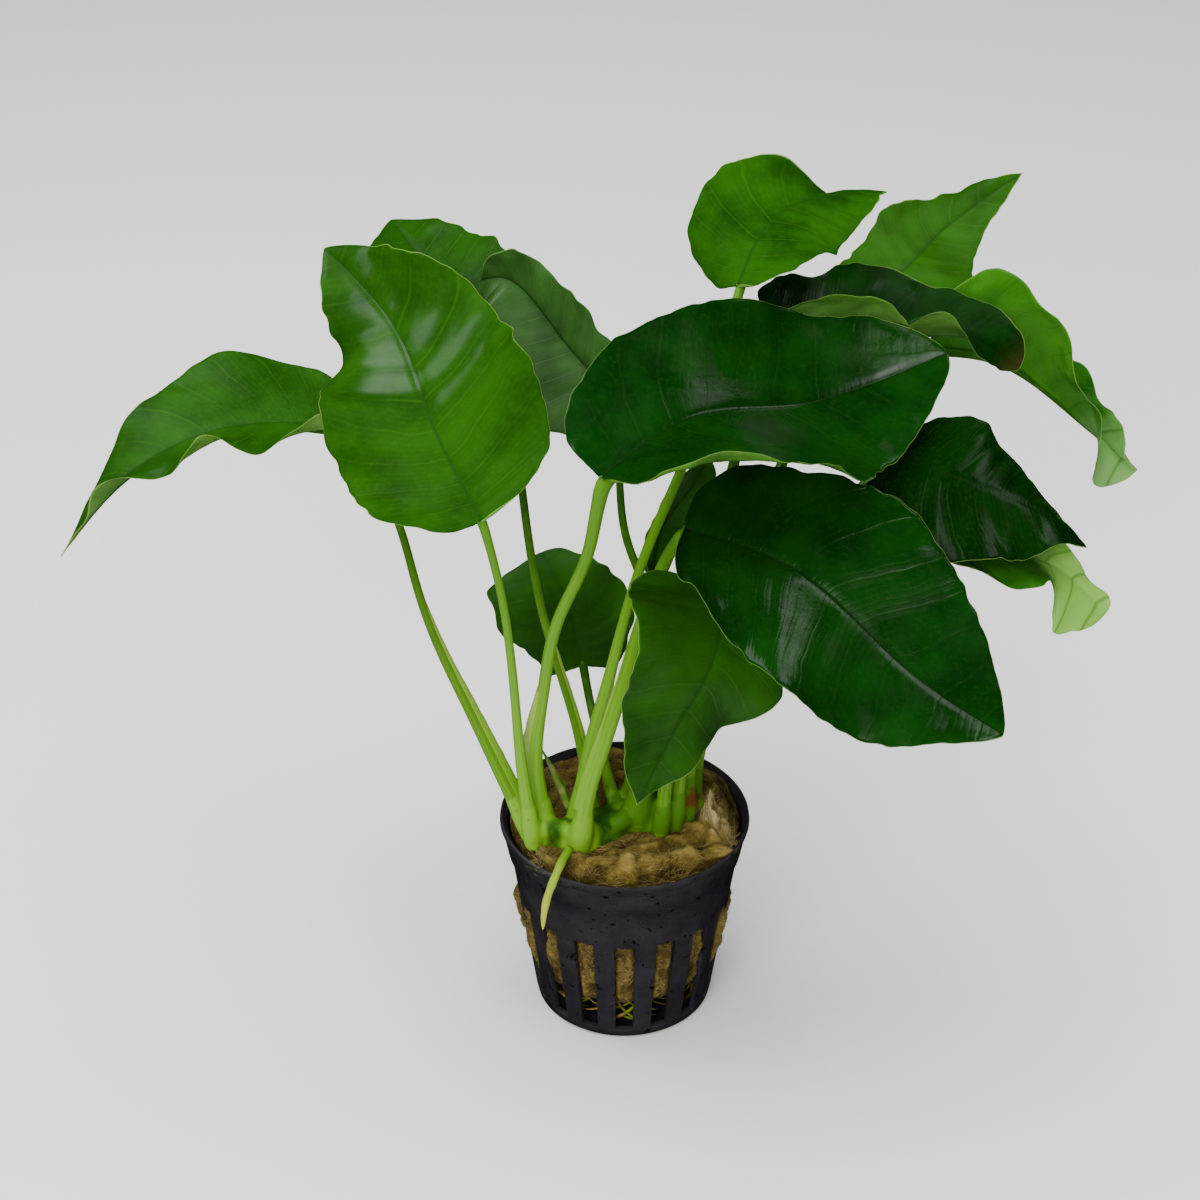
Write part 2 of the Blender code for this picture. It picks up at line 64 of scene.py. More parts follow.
def smoothRoute(points, count):
    # natural cubic curve through the points, at equal steps along it
    points = np.array(points, float)
    knots = walked(points)
    steps = np.diff(knots)
    last = len(points) - 1
    rows = np.eye(last + 1)
    change = np.zeros_like(points)
    for i in range(1, last):
        rows[i, i - 1:i + 2] = steps[i - 1], 2 * (steps[i - 1] + steps[i]), steps[i]
        slopeAfter = (points[i + 1] - points[i]) / steps[i]
        slopeBefore = (points[i] - points[i - 1]) / steps[i - 1]
        change[i] = 6 * (slopeAfter - slopeBefore)
    bend = np.linalg.solve(rows, change)

    def at(distance):
        i = np.clip(np.searchsorted(knots, distance, side="right") - 1, 0, last - 1)
        before = ((knots[i + 1] - distance) / steps[i])[:, None]
        after = 1 - before
        size = (steps[i] ** 2 / 6)[:, None]
        bulge = (before ** 3 - before) * bend[i] + (after ** 3 - after) * bend[i + 1]
        return before * points[i] + after * points[i + 1] + bulge * size

    fine = np.linspace(0, knots[-1], 8 * count)
    travelled = walked(at(fine))
    return at(np.interp(np.linspace(0, travelled[-1], count), travelled, fine))


def listed(values, share):
    # the listed values at equal steps, read off at each share of the way
    return np.interp(share, np.linspace(0, 1, len(values)), values)


def softStep(low, high, value):
    t = np.clip((value - low) / (high - low), 0, 1)
    return t * t * (3 - 2 * t)


def noisy(points, size, seed=0.0):
    # smooth noise at each point in millimetres, about -1 to 1
    flat = np.asarray(points, float).reshape(-1, 3) / size + seed
    values = [noise.noise(Vector(p)) for p in flat]
    return np.array(values).reshape(np.asarray(points).shape[:-1])


def pointsOf(piece):
    flat = np.empty(len(piece.data.vertices) * 3)
    piece.data.vertices.foreach_get("co", flat)
    return flat.reshape(-1, 3)


def sheetOf(name, across, along):
    # a grid primitive to be shaped; gives the piece and each vertex's place on it, 0 to 1
    bpy.ops.object.select_all(action="DESELECT")
    bpy.ops.mesh.primitive_grid_add(x_subdivisions=across, y_subdivisions=along, size=1)
    piece = bpy.context.object
    piece.name = name
    piece.data.name = name
    flat = pointsOf(piece) + 0.5
    return piece, flat[:, 0], flat[:, 1]


def place(piece, points):
    piece.data.vertices.foreach_set("co", (np.asarray(points) * mm).ravel())
    piece.data.update()


def paint(piece, title, values):
    # one number for each vertex, which a material reads by its name
    layer = piece.data.attributes.new(title, "FLOAT", "POINT")
    layer.data.foreach_set("value", values)


def setUv(piece, across, along):
    corner = np.empty(len(piece.data.loops), int)
    piece.data.loops.foreach_get("vertex_index", corner)
    values = np.stack([across[corner], along[corner]], axis=1)
    piece.data.uv_layers["UVMap"].data.foreach_set("uv", values.ravel())


def closeUp(piece, reach=0.004, outwards=True):
    # merges the points that meet, such as a seam or a pole, and turns a closed piece's faces outwards
    activate(piece)
    bpy.ops.object.mode_set(mode="EDIT")
    bpy.ops.mesh.select_all(action="SELECT")
    bpy.ops.mesh.remove_doubles(threshold=reach * mm)
    if outwards:
        bpy.ops.mesh.dissolve_degenerate(threshold=0.002 * mm)
        bpy.ops.mesh.select_all(action="SELECT")
        bpy.ops.mesh.normals_make_consistent(inside=False)
    bpy.ops.object.mode_set(mode="OBJECT")
    bpy.ops.object.shade_smooth()


def joinTo(body, pieces):
    bpy.ops.object.select_all(action="DESELECT")
    for piece in [*pieces, body]:
        piece.select_set(True)
    bpy.context.view_layer.objects.active = body
    bpy.ops.object.join()


def modify(piece, kind, **settings):
    made = piece.modifiers.new(kind.lower(), kind)
    for key, value in settings.items():
        setattr(made, key, value)


def applyModifiers(piece):
    activate(piece)
    for step in list(piece.modifiers):
        bpy.ops.object.modifier_apply(modifier=step.name)


def finishPiece(piece, material, nodes=()):
    if material:
        piece.data.materials.append(material)
    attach(piece, "root")
    if nodes:
        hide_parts(*nodes)


def frames(centres, side):
    # directions along a route and two across it, without twist
    along = unit(np.gradient(centres, axis=0))
    across = np.empty_like(centres)
    arm = np.array(side, float)
    for i, direction in enumerate(along):
        arm = unit(arm - arm.dot(direction) * direction)
        across[i] = arm
    return along, across, np.cross(along, across)


def tube(name, centres, radii, around=16, side=(0, 1, 0), shape=None):
    # a closed tube: shape(angle) scales its radius
    rings = len(centres)
    piece, x, y = sheetOf(name, around, rings - 1)
    along, across, over = frames(np.asarray(centres), side)
    ring = np.rint(y * (rings - 1)).astype(int)
    angle = fullTurn * x
    radius = np.asarray(radii)[ring] * (shape(angle) if shape else 1.0)
    arm = across[ring] * np.cos(angle)[:, None] + over[ring] * np.sin(angle)[:, None]
    place(piece, np.asarray(centres)[ring] + arm * radius[:, None])
    closeUp(piece)
    return piece


class Nodes:
    # a few short ways to add and join nodes in one tree
    def __init__(self, tree):
        self.tree = tree

    def add(self, kind, **settings):
        made = self.tree.nodes.new(kind)
        for key, value in settings.items():
            setattr(made, key, value)
        return made

    def join(self, source, target):
        if isinstance(source, (int, float, tuple)):
            target.default_value = source
        else:
            self.tree.links.new(source, target)

    def math(self, operation, a, b=0.0, clamp=False):
        made = self.add("ShaderNodeMath", operation=operation, use_clamp=clamp)
        self.join(a, made.inputs[0])
        self.join(b, made.inputs[1])
        return made.outputs[0]

    def plus(self, a, b):
        return self.math("ADD", a, b)

    def minus(self, a, b):
        return self.math("SUBTRACT", a, b)

    def times(self, a, b):
        return self.math("MULTIPLY", a, b)

    def fromWhole(self, value):
        # distance to the nearest whole number, 0 to 0.5
        return self.minus(0.5, self.math("ABSOLUTE", self.minus(self.math("FRACT", value), 0.5)))

    def mapRange(self, value, low, high, toLow=0.0, toHigh=1.0):
        made = self.add("ShaderNodeMapRange", interpolation_type="SMOOTHSTEP")
        for socket, part in zip(made.inputs, (value, low, high, toLow, toHigh)):
            self.join(part, socket)
        return made.outputs[0]

    def mix(self, share, a, b):
        made = self.add("ShaderNodeMix", data_type="RGBA")
        self.join(share, made.inputs[0])
        for socket, color in ((made.inputs[6], a), (made.inputs[7], b)):
            self.join((*color, 1.0) if isinstance(color, tuple) else color, socket)
        return made.outputs[2]

    def noise(self, scale, detail=3.0, rough=0.5, vector=None, distortion=0.0):
        made = self.add("ShaderNodeTexNoise")
        self.join(vector if vector is not None else self.objectCoords(), made.inputs["Vector"])
        made.inputs["Scale"].default_value = scale
        made.inputs["Detail"].default_value = detail
        made.inputs["Roughness"].default_value = rough
        made.inputs["Distortion"].default_value = distortion
        return made.outputs["Fac"]

    def objectCoords(self):
        return self.add("ShaderNodeTexCoord").outputs["Object"]

    def attribute(self, name):
        return self.add("ShaderNodeAttribute", attribute_name=name).outputs["Fac"]

    def split(self, vector):
        made = self.add("ShaderNodeSeparateXYZ")
        self.join(vector, made.inputs[0])
        return made.outputs

    def uvParts(self):
        return self.split(self.add("ShaderNodeUVMap", uv_map="UVMap").outputs[0])

    def bump(self, height, strength, distance):
        made = self.add("ShaderNodeBump")
        made.inputs["Strength"].default_value = strength
        made.inputs["Distance"].default_value = distance
        self.join(height, made.inputs["Height"])
        return made.outputs["Normal"]


def newMaterial(name, roughness, settings=None):
    made = bpy.data.materials.new(name)
    made.use_nodes = True
    shader = made.node_tree.nodes["Principled BSDF"]
    shader.inputs["Roughness"].default_value = roughness
    for key, value in (settings or {}).items():
        shader.inputs[key].default_value = value
    return made, Nodes(made.node_tree), shader


def dress(n, shader, color, height=None, strength=0.3, distance=0.0002):
    n.join(color, shader.inputs["Base Color"])
    if height is not None:
        n.join(n.bump(height, strength, distance), shader.inputs["Normal"])


def newGroup(name, inputs, outputs):
    tree = bpy.data.node_groups.new(name, "ShaderNodeTree")
    for title, value in inputs.items():
        kind = "NodeSocketColor" if isinstance(value, tuple) else "NodeSocketFloat"
        socket = tree.interface.new_socket(title, in_out="INPUT", socket_type=kind)
        socket.default_value = (*value, 1.0) if isinstance(value, tuple) else value
    for title in outputs:
        kind = "NodeSocketColor" if title == "Color" else "NodeSocketFloat"
        tree.interface.new_socket(title, in_out="OUTPUT", socket_type=kind)
    n = Nodes(tree)
    return tree, n, n.add("NodeGroupInput").outputs, n.add("NodeGroupOutput").inputs


# Leaf pattern, shared by the upper and lower faces of every blade
def leafPattern():
    tree, n, given, out = newGroup("leaf pattern", {
        "Deep": (0.01, 0.08, 0.004), "Fresh": (0.03, 0.2, 0.01), "Vein": (0.1, 0.3, 0.03),
        "Edge": (0.4, 0.5, 0.15), "Rib": (0.01, 0.05, 0.004), "Tip": (0.4, 0.5, 0.15),
        "Veins": 9.0, "Vein show": 0.4, "Edge width": 0.3, "Rib show": 0.5, "Tip from": 2.0,
    }, ["Color", "Height", "Wet", "Film"])
    along = n.uvParts()[1]
    coords = n.objectCoords()
    phase = n.times(along, given["Veins"])
    phase = n.plus(phase, n.times(n.noise(45.0, 2.0, 0.5, coords), 0.9))
    apart = n.fromWhole(phase)  # 0 on a side vein and 0.5 between two
    line = n.mapRange(apart, 0.01, 0.045, 1.0, 0.0)
    line = n.times(line, n.mapRange(n.noise(60.0, 2.0, 0.5, coords), 0.35, 0.65, 0.15, 1.0))
    fineLine = n.mapRange(n.fromWhole(n.times(phase, 6.0)), 0.05, 0.3, 1.0, 0.0)
    rib = n.mapRange(n.attribute("ribDistance"), 0.15, 0.7, 1.0, 0.0)
    edgeWidth = given["Edge width"]
    edge = n.mapRange(n.attribute("edgeDistance"), n.times(edgeWidth, 0.6), edgeWidth, 1.0, 0.0)
    # the tissue is fresher in patches and half way between two side veins
    patches = n.mapRange(n.noise(70.0, 3.0, 0.55, coords), 0.32, 0.68)
    between = n.mapRange(apart, 0.05, 0.5, 0.0, 0.2)
    share = n.math("ADD", n.times(patches, 0.8), between, clamp=True)
    color = n.mix(share, given["Deep"], given["Fresh"])
    mottle = n.noise(900.0, 2.0, 0.6, coords)
    color = n.mix(n.mapRange(mottle, 0.45, 0.75, 0.0, 0.1), color, given["Vein"])
    color = n.mix(n.times(fineLine, n.times(given["Vein show"], 0.18)), color, given["Vein"])
    color = n.mix(n.times(line, given["Vein show"]), color, given["Vein"])
    color = n.mix(n.times(rib, given["Rib show"]), color, given["Rib"])
    tipFrom = given["Tip from"]
    tip = n.mapRange(n.plus(along, n.times(n.noise(120.0), 0.1)), tipFrom, n.plus(tipFrom, 0.15), 0.0, 0.85)
    color = n.mix(n.times(tip, n.mapRange(apart, 0.0, 0.1, 0.45, 1.0)), color, given["Tip"])
    color = n.mix(n.times(edge, 0.6), color, given["Edge"])
    pores = n.noise(2600.0, 2.0, 0.6, coords)
    pucker = n.noise(380.0, 3.0, 0.55, coords)
    height = n.plus(n.times(pores, 0.2), n.times(pucker, 0.8))
    height = n.minus(height, n.times(line, 0.35))
    height = n.minus(height, n.times(fineLine, 0.12))
    # a film of water over part of the leaf
    film = n.plus(n.attribute("wetFilm"), n.times(n.noise(75.0, 4.0, 0.6, coords), 0.6))
    ridge = n.mapRange(apart, 0.05, 0.4, 0.0, 0.45)
    film = n.mapRange(n.plus(film, ridge), 0.9, 1.6, 0.0, 0.62)
    ripples = n.noise(230.0, 3.0, 0.55, coords, 0.9)
    height = n.plus(height, n.times(n.times(film, ripples), 2.2))
    n.join(film, out["Film"])
    n.join(color, out["Color"])
    n.join(height, out["Height"])
    n.join(n.mapRange(n.noise(55.0, 4.0, 0.6, coords, 0.6), 0.42, 0.62), out["Wet"])
    return tree


leafPatternGroup = leafPattern()


def leafMaterial(name, colors, veinShow, ribShow, roughness, bumpStrength, shine, tip=None, film=None):
    made, n, shader = newMaterial(name, roughness, {"IOR": 1.45, "Specular IOR Level": shine})
    group = n.add("ShaderNodeGroup", node_tree=leafPatternGroup)
    values = {"Veins": bladeMake["veins"], "Vein show": veinShow, "Rib show": ribShow,
              "Edge width": bladeMake["paleEdge"], **colors}
    if tip:
        values["Tip"], values["Tip from"] = tip
    for key, value in values.items():
        group.inputs[key].default_value = (*value, 1.0) if isinstance(value, tuple) else value
    rough = n.mapRange(group.outputs["Wet"], 0.0, 1.0, roughness, roughness * 0.62)
    n.join(rough, shader.inputs["Roughness"])
    if film:
        n.join(group.outputs["Film"], shader.inputs["Coat Weight"])
        shader.inputs["Coat Roughness"].default_value = film["roughness"]
        shader.inputs["Coat IOR"].default_value = film["gloss"]
    dress(n, shader, group.outputs["Color"], group.outputs["Height"], bumpStrength)
    return made


# Leaves. midrib: route from the joint to the tip. facing: azimuth and elevation of the upper
# face at the joint, the middle and the tip. half, fold, ripple, lag: half width, upward fold,
# height and start of the edge ripple, each left then right as seen from the joint. margin: how
# many per cent wider each side is than the plain outline, at equal steps along the leaf. Apart
# from low_back's, these lists were fitted to the photo's edges by another program and rounded.
# Most other leaf values, and the stalks' routes and radii, were worked out by other programs
# from points traced by hand, then rounded or moved by hand.
# curls: side, place, length, lift. thick: the stalk's radius at equal steps up to the joint.
# film: level, from, to, left and right of each wet patch.
leafGreens = {
    # upper face, then lower face; the lower face is lighter, partly its own paler green and partly painted
    # light shining through the blade
    "dark": (
        dict(Deep=(0.0006, 0.016, 0.0003), Fresh=(0.0020, 0.034, 0.0006), Vein=(0.018, 0.09, 0.004),
             Edge=(0.16, 0.30, 0.05), Rib=(0.003, 0.016, 0.002)),
        dict(Deep=(0.035, 0.12, 0.008), Fresh=(0.075, 0.21, 0.02), Vein=(0.02, 0.07, 0.005),
             Edge=(0.16, 0.30, 0.05), Rib=(0.05, 0.17, 0.015))),
    "middle": (
        dict(Deep=(0.0060, 0.045, 0.0006), Fresh=(0.014, 0.085, 0.0010), Vein=(0.05, 0.16, 0.008),
             Edge=(0.20, 0.34, 0.06), Rib=(0.008, 0.05, 0.003)),
        dict(Deep=(0.05, 0.15, 0.012), Fresh=(0.10, 0.25, 0.03), Vein=(0.03, 0.09, 0.008),
             Edge=(0.20, 0.34, 0.06), Rib=(0.07, 0.2, 0.02))),
    # bright: a lighter copy of these greens, painted light shining through the leaves from behind
    "bright": (
        dict(Deep=(0.008, 0.080, 0.001), Fresh=(0.026, 0.160, 0.003), Vein=(0.06, 0.22, 0.012),
             Edge=(0.24, 0.38, 0.08), Rib=(0.02, 0.1, 0.005)),
        dict(Deep=(0.018, 0.12, 0.002), Fresh=(0.036, 0.18, 0.004), Vein=(0.01, 0.06, 0.003),
             Edge=(0.24, 0.38, 0.08), Rib=(0.01, 0.07, 0.004))),
}
leaves = {
    "far_left": dict(
        midrib=[(-58, 26, 125), (-79, 23, 127), (-100, 17, 120), (-116, 13, 102)],
        facing=[(95, 77), (120, 83), (158, 51)],
        half=(18, 22), fold=(9, 23), ripple=(-2, 1), ripples=3.6, lag=(0.25, 0.13), lobe=2, taper=1.5,
        margin=([0, 0, 0, -3, -1, 0, 0, 0, 2, 4, 4, 4, 3, 3, 6, 7, 4, 4, 4, 3] + [0] * 5,
                [0, -4] + [-5] * 6 + [-2] + [-1] * 5 + [-3, -1, 0, 1, 4, 5, 6, 0, 0, 0, 0]),
        curls=[(-1, 0.08, 0.07, 3.5), (-1, 0.42, 0.06, 2.0), (-1, 0.75, 0.07, 2.5)],
        stalk=[(-20.8, -8.8, 49.6), (-26.8, -3.7, 61.2), (-32.7, 1.5, 72.6), (-38.6, 6.8, 83.9),
               (-43.2, 12.5, 95.6), (-47.0, 18.3, 107.6)],
        thick=(1.58, 1.25, 1.05, 0.92, 0.84, 0.84), matt=0.50, shine=0.16,
        tint=dict(Deep=(0.006, 0.045, 0.0012), Fresh=(0.014, 0.085, 0.0030)), green="middle"),
    "front_left": dict(
        midrib=[(-28, -13, 126), (-39, 9, 137), (-47, 30, 146), (-62, 48, 155)],
        facing=[(-90, 44), (-103, 37), (-105, 44)],
        half=(21, 24), fold=(4, 9), ripple=(-3, 3), ripples=2.5, lag=(0.5, 0.3), lobe=3, taper=0.8,
        margin=([-15, -14, -9, 0, 3, 1, 1, 1, 0, 0, 0, -2, -5, -3, -1, 0, -11, -19, -17, -12, -10, -10,
                 -10, -14, -9],
                [-7, -6, -3, 1, 2, 2, 1, 0, -1, -4, -5, -5, -9, -9, -10, -9, -9, -12, -14, -19, -18, -17,
                 -17, -13, -6]),
        stalk=[(-19.3, -13.0, 50.5), (-21.2, -12.7, 66.9), (-22.2, -12.3, 81.4), (-23.2, -12.0, 95.9),
               (-24.9, -12.4, 110.4)],
        thick=(1.70, 1.26, 0.98, 0.90, 0.85, 0.88), relief=0.2, matt=0.5, shine=0.05,
        film=dict(patches=[(1.0, 0.58, 0.97, -1.0, 0.08), (0.55, 0.50, 0.93, 0.1, 1.0)],
                  roughness=0.22, gloss=1.5),
        stem="pale", green="middle"),
    "back_left": dict(
        midrib=[(-25, 36, 141), (-36, 49, 145), (-44, 61, 148), (-50, 73, 150)],
        facing=[(-90, 55), (-100, 60), (-110, 70)],
        half=(17, 14), fold=(10, 5), ripple=(-1, -1), ripples=2.8, lag=(0.5, 0.5), lobe=5, taper=0.85,
        margin=([0] * 19 + [-3] * 5 + [-1],
                [0] * 10 + [2] + [5] * 5 + [6, 6, 6, 6, 8, 13, 18, 21, 1]),
        stalk=[(-7.0, -0.3, 49.0), (-9.9, 7.6, 61.3), (-13.7, 12.0, 74.2), (-17.4, 15.5, 87.5),
               (-19.9, 19.8, 100.7), (-21.6, 24.7, 113.9)],
        thick=(1.25, 0.93, 0.90, 0.90, 0.82, 0.80), matt=0.50, shine=0.12,
        tint=dict(Deep=(0.004, 0.036, 0.0005), Fresh=(0.010, 0.070, 0.0008)), green="middle"),
    "back_middle": dict(
        midrib=[(-2, 23, 134), (-14, 34, 143), (-24, 42, 151), (-30, 47, 148)],
        facing=[(-113, 49), (-95, 50), (-119, 52)],
        half=(18, 10), fold=(8, 48), ripple=(0, -1.5), ripples=2.4, lag=(0.5, 0.7), lobe=5, taper=0.8,
        margin=([0] * 25,
                [0] + [-3] * 5 + [-6, -11, -10] + [-7] * 6 + [-3, -2, -2, -2, -2, -3, -3, -3, -3, -4]),
        stalk=[(0.7, 1.5, 49.6), (3.1, 6.0, 64.0), (4.7, 9.6, 77.3), (5.2, 12.5, 90.8), (0.5, 16.8, 102.9),
               (-1.2, 21.7, 115.6)],
        # painted sheen: the lighter, greyish tint and vein colour stand for the grey sheen on this leaf
        thick=(1.25, 1.03, 0.96, 0.90, 0.80, 0.77), relief=0.26, matt=0.42, veinShow=0.2, shine=0.4,
        tint=dict(Deep=(0.012, 0.043, 0.006), Fresh=(0.033, 0.100, 0.016), Vein=(0.06, 0.13, 0.035)),
        green="dark"),
    "centre": dict(
        midrib=[(-5, -10, 134), (12, 4, 139), (35, 21, 133), (66, 34, 138)],
        facing=[(-91, 85), (-83, 62), (-82, 58)],
        half=(24, 28), fold=(16, 21), ripple=(-1, -1.5), ripples=2.5, lag=(0.4, 0.4), lobe=3, taper=0.66,
        margin=([6, 5, -1, -3, -2, -1] + [0] * 7 + [-2, -3, -3, -4, -6, -6, -4, -2, -3, -4, -4, -2],
                [8, 12, 12, 13, 13, 12, 14, 16, 15, 14, 7, 5, 11, 13, 6, 3, 0, -1, -2, -3, -6, -8, -8, -8,
                 -4]),
        curls=[(1, 0.15, 0.09, 4.5), (1, 0.37, 0.09, 4.0), (1, 0.57, 0.03, 1.5)],
        stalk=[(-17.0, -8.0, 48.8), (-18.7, -8.4, 66.0), (-16.7, -8.7, 83.2), (-13.7, -9.2, 100.3),
               (-7.6, -9.9, 116.5), (-6.2, -10.0, 124.0)],
        thick=(2.24, 1.78, 1.30, 1.20, 1.21, 1.45), relief=0.06, matt=0.30, shine=0.28,
        film=dict(patches=[(1.0, 0.87, 0.98, -0.4, 0.85)], roughness=0.2, gloss=1.5), stem="pale",
        green="dark"),
    "front_right": dict(
        midrib=[(11, -13, 124), (34, -19, 117), (53, -31, 104), (71, -44, 97)],
        facing=[(-45, 51), (-68, 55), (-55, 40)],
        half=(24, 27), fold=(6, 13), ripple=(0, 3), ripples=2.2, lag=(0.5, 0.1), lobe=3, taper=0.7,
        margin=([-8, -8, -7, -1, -1, -5, -6, -1, 2, 4, 7, 7, 3, 1, 2, 1, 0, 0, 0, 0, -3, -6, -11, -11, -6],
                [0, 18, 4, -9, -6, -6, -6, -8, -6, -4, -4, -3, 2, 0, -1, -1, -1, -5, -7, -7, -7, -7, -6,
                 -4, -1]),
        curls=[(1, 0.03, 0.04, 3.0)],
        stalk=[(-9.4, -13.7, 49.5), (-7.6, -13.0, 62.1), (-5.2, -11.5, 69.9), (-2.7, -9.0, 77.3),
               (-0.2, -5.9, 84.5), (2.1, -2.8, 91.9), (7.0, -2.0, 108.0)],
        thick=(2.11, 1.75, 1.60, 1.40, 1.25, 1.2), relief=0.16, matt=0.30, shine=0.33, stem="pale",
        green="dark"),
    "hanging": dict(
        midrib=[(19, -7, 106), (17, -19, 98), (10, -25, 86), (2, -28, 69)],
        facing=[(-91, 21), (-61, 5), (-77, 10)],
        half=(17, 21), fold=(5, 6), ripple=(2.5, -1.5), ripples=2.6, lag=(0.2, 0.7), lobe=6, taper=1.15,
        margin=([0] * 9 + [-4, -8, -13, -16, -15, -10, -6, -6, -10, -12, -8, -3, -2, -4, -4, -1],
                [0, 0, 5, 5, 0, -1, 0, 1, 2, 2, 0, 1, -2, -4, -4, -4, -5, -4, 3, 7, 8, 8, 8, 4, 1]),
        stalk=[(7.5, -9.5, 49.9), (8.8, -9.5, 64.8), (11.1, -9, 76.4), (13.5, -7.5, 82.8), (16, -5, 88)],
        thick=(1.6, 1.4, 1.3, 1.2, 1.1), matt=0.45, green="middle"),
    "low_back": dict(
        midrib=[(-9, 36, 60), (-11, 38, 70), (-14, 40, 78), (-18, 46, 83)],
        facing=[(-100, 55), (-90, 65), (-80, 58)],
        half=(18, 14), fold=(0, 8), ripple=(1, 1), ripples=2.4, lag=(0.4, 0.5), lobe=3, taper=0.5,
        margin=([0, -2, -10, -20, -24, -26, -26, -25, -23, -20, -18, -15, -13, -11, -9, -6, -3, 0, 4, 10,
                 18, 26, 30, 22, 5],
                [0, 0, -2, -4, -5, -5, -4, -3, -2, -2, -2, -3, -4, -6, -9, -13, -17, -21, -24, -26, -27,
                 -26, -22, -12, -2]),
        stalk=[(-3, 2.5, 50.5), (-5, 16, 52), (-7, 27, 54)],
        thick=(1.2, 1.0, 0.9), matt=0.5, slot="dark", green="middle"),
    "top_middle": dict(
        midrib=[(23, 39, 151), (30, 50, 160), (43, 63, 160), (56, 74, 156)],
        facing=[(-131, 38), (-100, 52), (-114, 75)],
        half=(16, 14), fold=(-10, 10), ripple=(-2.5, 3), ripples=1.1, lag=(0.3, 0.3), lobe=3, taper=0.9,
        margin=([-15, -21, -14, 0, 11, 12, 10, 10, 9, 8, 5, -3, -10, -24, -39, -54, -72, -83, -79, -68,
                 -58, -50, -39, -28, -5],
                [0, 0, 0, 4, 4, 3, 3, 3, 3, 7, 7, 2, 1, 3, 3, -3, -6, -6, -6, -6, -10, -15, -21, -18, 2]),
        curls=[(-1, 0.55, 0.08, 3.0)],
        stalk=[(-10.0, -5.7, 50.5), (-6.9, -2.9, 67.0), (-3.2, 0.2, 81.3), (0.4, 4.3, 95.3),
               (5.3, 10.0, 108.3), (11.3, 18.0, 119.6)],
        thick=(1.73, 1.42, 1.05, 1.02, 0.97, 0.92), matt=0.55, shine=0.03,
        tint=dict(Deep=(0.0030, 0.036, 0.0004), Fresh=(0.014, 0.088, 0.0015)), stem="pale", green="middle"),
    "top_right": dict(
        midrib=[(50, 71, 130), (63, 84, 134), (72, 100, 135), (90, 107, 146)],
        facing=[(-100, 60), (-76, 59), (-62, 60)],
        half=(12, 12), fold=(3, 8), ripple=(-2.5, 1), ripples=2, lag=(0.7, 0.8), lobe=6, taper=1.0,
        margin=([0] * 10 + [4, 11, 13, 10, 10, 9, 5, 1, 0, -2, 2, 6, 6, 9, 1],
                [0] * 5 + [-1, 2, 5, 13, 17, 13, 11, 7] + [4] * 10 + [1, -3]),
        stalk=[(12.4, 2.5, 49.1), (14, 10, 54.2), (17.6, 19, 62.3), (23, 30, 75.6), (35, 52, 104)],
        thick=(1.9, 1.5, 1.3, 1.15, 1), matt=0.50, shine=0.12,
        tint=dict(Deep=(0.009, 0.055, 0.0012), Fresh=(0.020, 0.105, 0.004)), green="middle"),
    "arching": dict(
        midrib=[(29, 42, 142), (51, 53, 131), (74, 57, 130), (84, 52, 125)],
        facing=[(-85, 88), (-95, 80), (-120, 55)],
        half=(16, 23), fold=(30, 48), ripple=(-1.5, 1.5), ripples=2.6, lag=(0.25, 0.75), lobe=3, taper=0.55,
        margin=([5, 5, 5, 7, 4, 4, 4, 7, 12, 17, 23, 19, 10, -2, -9, -19, -25, -26, -24, -24, -27, -25,
                 -22, -18, -9],
                [0, 2, 7, 4, 1, 2, 4, 5, 2, 1, -3, -11, -12, -7, -3, 0, 3, 1, 0, 0, 0, 1, 1, 1, 1]),
        curls=[(1, 0.45, 0.06, -2.0)],
        stalk=[(7.5, 2.5, 50), (14, 14, 78), (22, 28, 112)],
        thick=(1.8, 1.3, 1.0), matt=0.44, shine=0.3, tip=((0.05, 0.025, 0.008), 0.97), green="dark"),
    "bright_right": dict(
        midrib=[(67, 66, 123), (83, 70, 118), (100, 60, 108), (112, 54, 99)],
        facing=[(132, 27), (75, 75), (-75, -33)],
        half=(8, 20), fold=(60, 49), ripple=(-1.5, 2), ripples=3.4, lag=(0.8, -0.4), lobe=3.5, taper=0.55,
        margin=([0] * 25,
                [3, 2, 0, 0, 4, 9, 9, 8, 8, 7, 5] + [0] * 14),
        stalk=[(14.2, -0.5, 50.8), (15.1, 4.5, 56.3), (17.5, 11, 62.1), (23.8, 20, 71.9), (36.9, 34, 86.8),
               (51, 47, 98)],
        # painted sheen: the pale tip colour stands for the sheen on the turned tip
        thick=(1.7, 1.45, 1.3, 1.2, 1.1, 1), matt=0.45, shine=0.3, tip=((0.20, 0.42, 0.11), 0.80),
        green="bright"),
    "dark_right": dict(
        midrib=[(53, 16, 124), (71, 7, 122), (87, 6, 114), (93, 5, 109)],
        facing=[(-71, 61), (-144, 67), (-5, 38)],
        half=(18, 20), fold=(-11, -3), ripple=(0.5, 2), ripples=2.7, lag=(0.4, 0.9), lobe=3, taper=1.0,
        margin=([0, 0, 1, 9, 4, 0, 0, 0, 0, -1, -2, 1, 5, 7, 2, -1, -5, -10, -13, -8, -2, 0, 0, 3, 1],
                [0] * 10 + [1, 3, 2, 0] + [-2] * 10 + [0]),
        stalk=[(12.8, -4.2, 51.1), (13.2, -1.5, 59.8), (15.4, 1, 69), (21.2, 4, 81.2), (29.9, 7, 92.1),
               (40, 10, 102)],
        # painted shade: the near-black tint stands for the shadow that the centre leaf casts on this one
        thick=(1.9, 1.6, 1.4, 1.35, 1.3, 1.2), relief=0.34, matt=0.28, shine=0.14, veinShow=0.12,
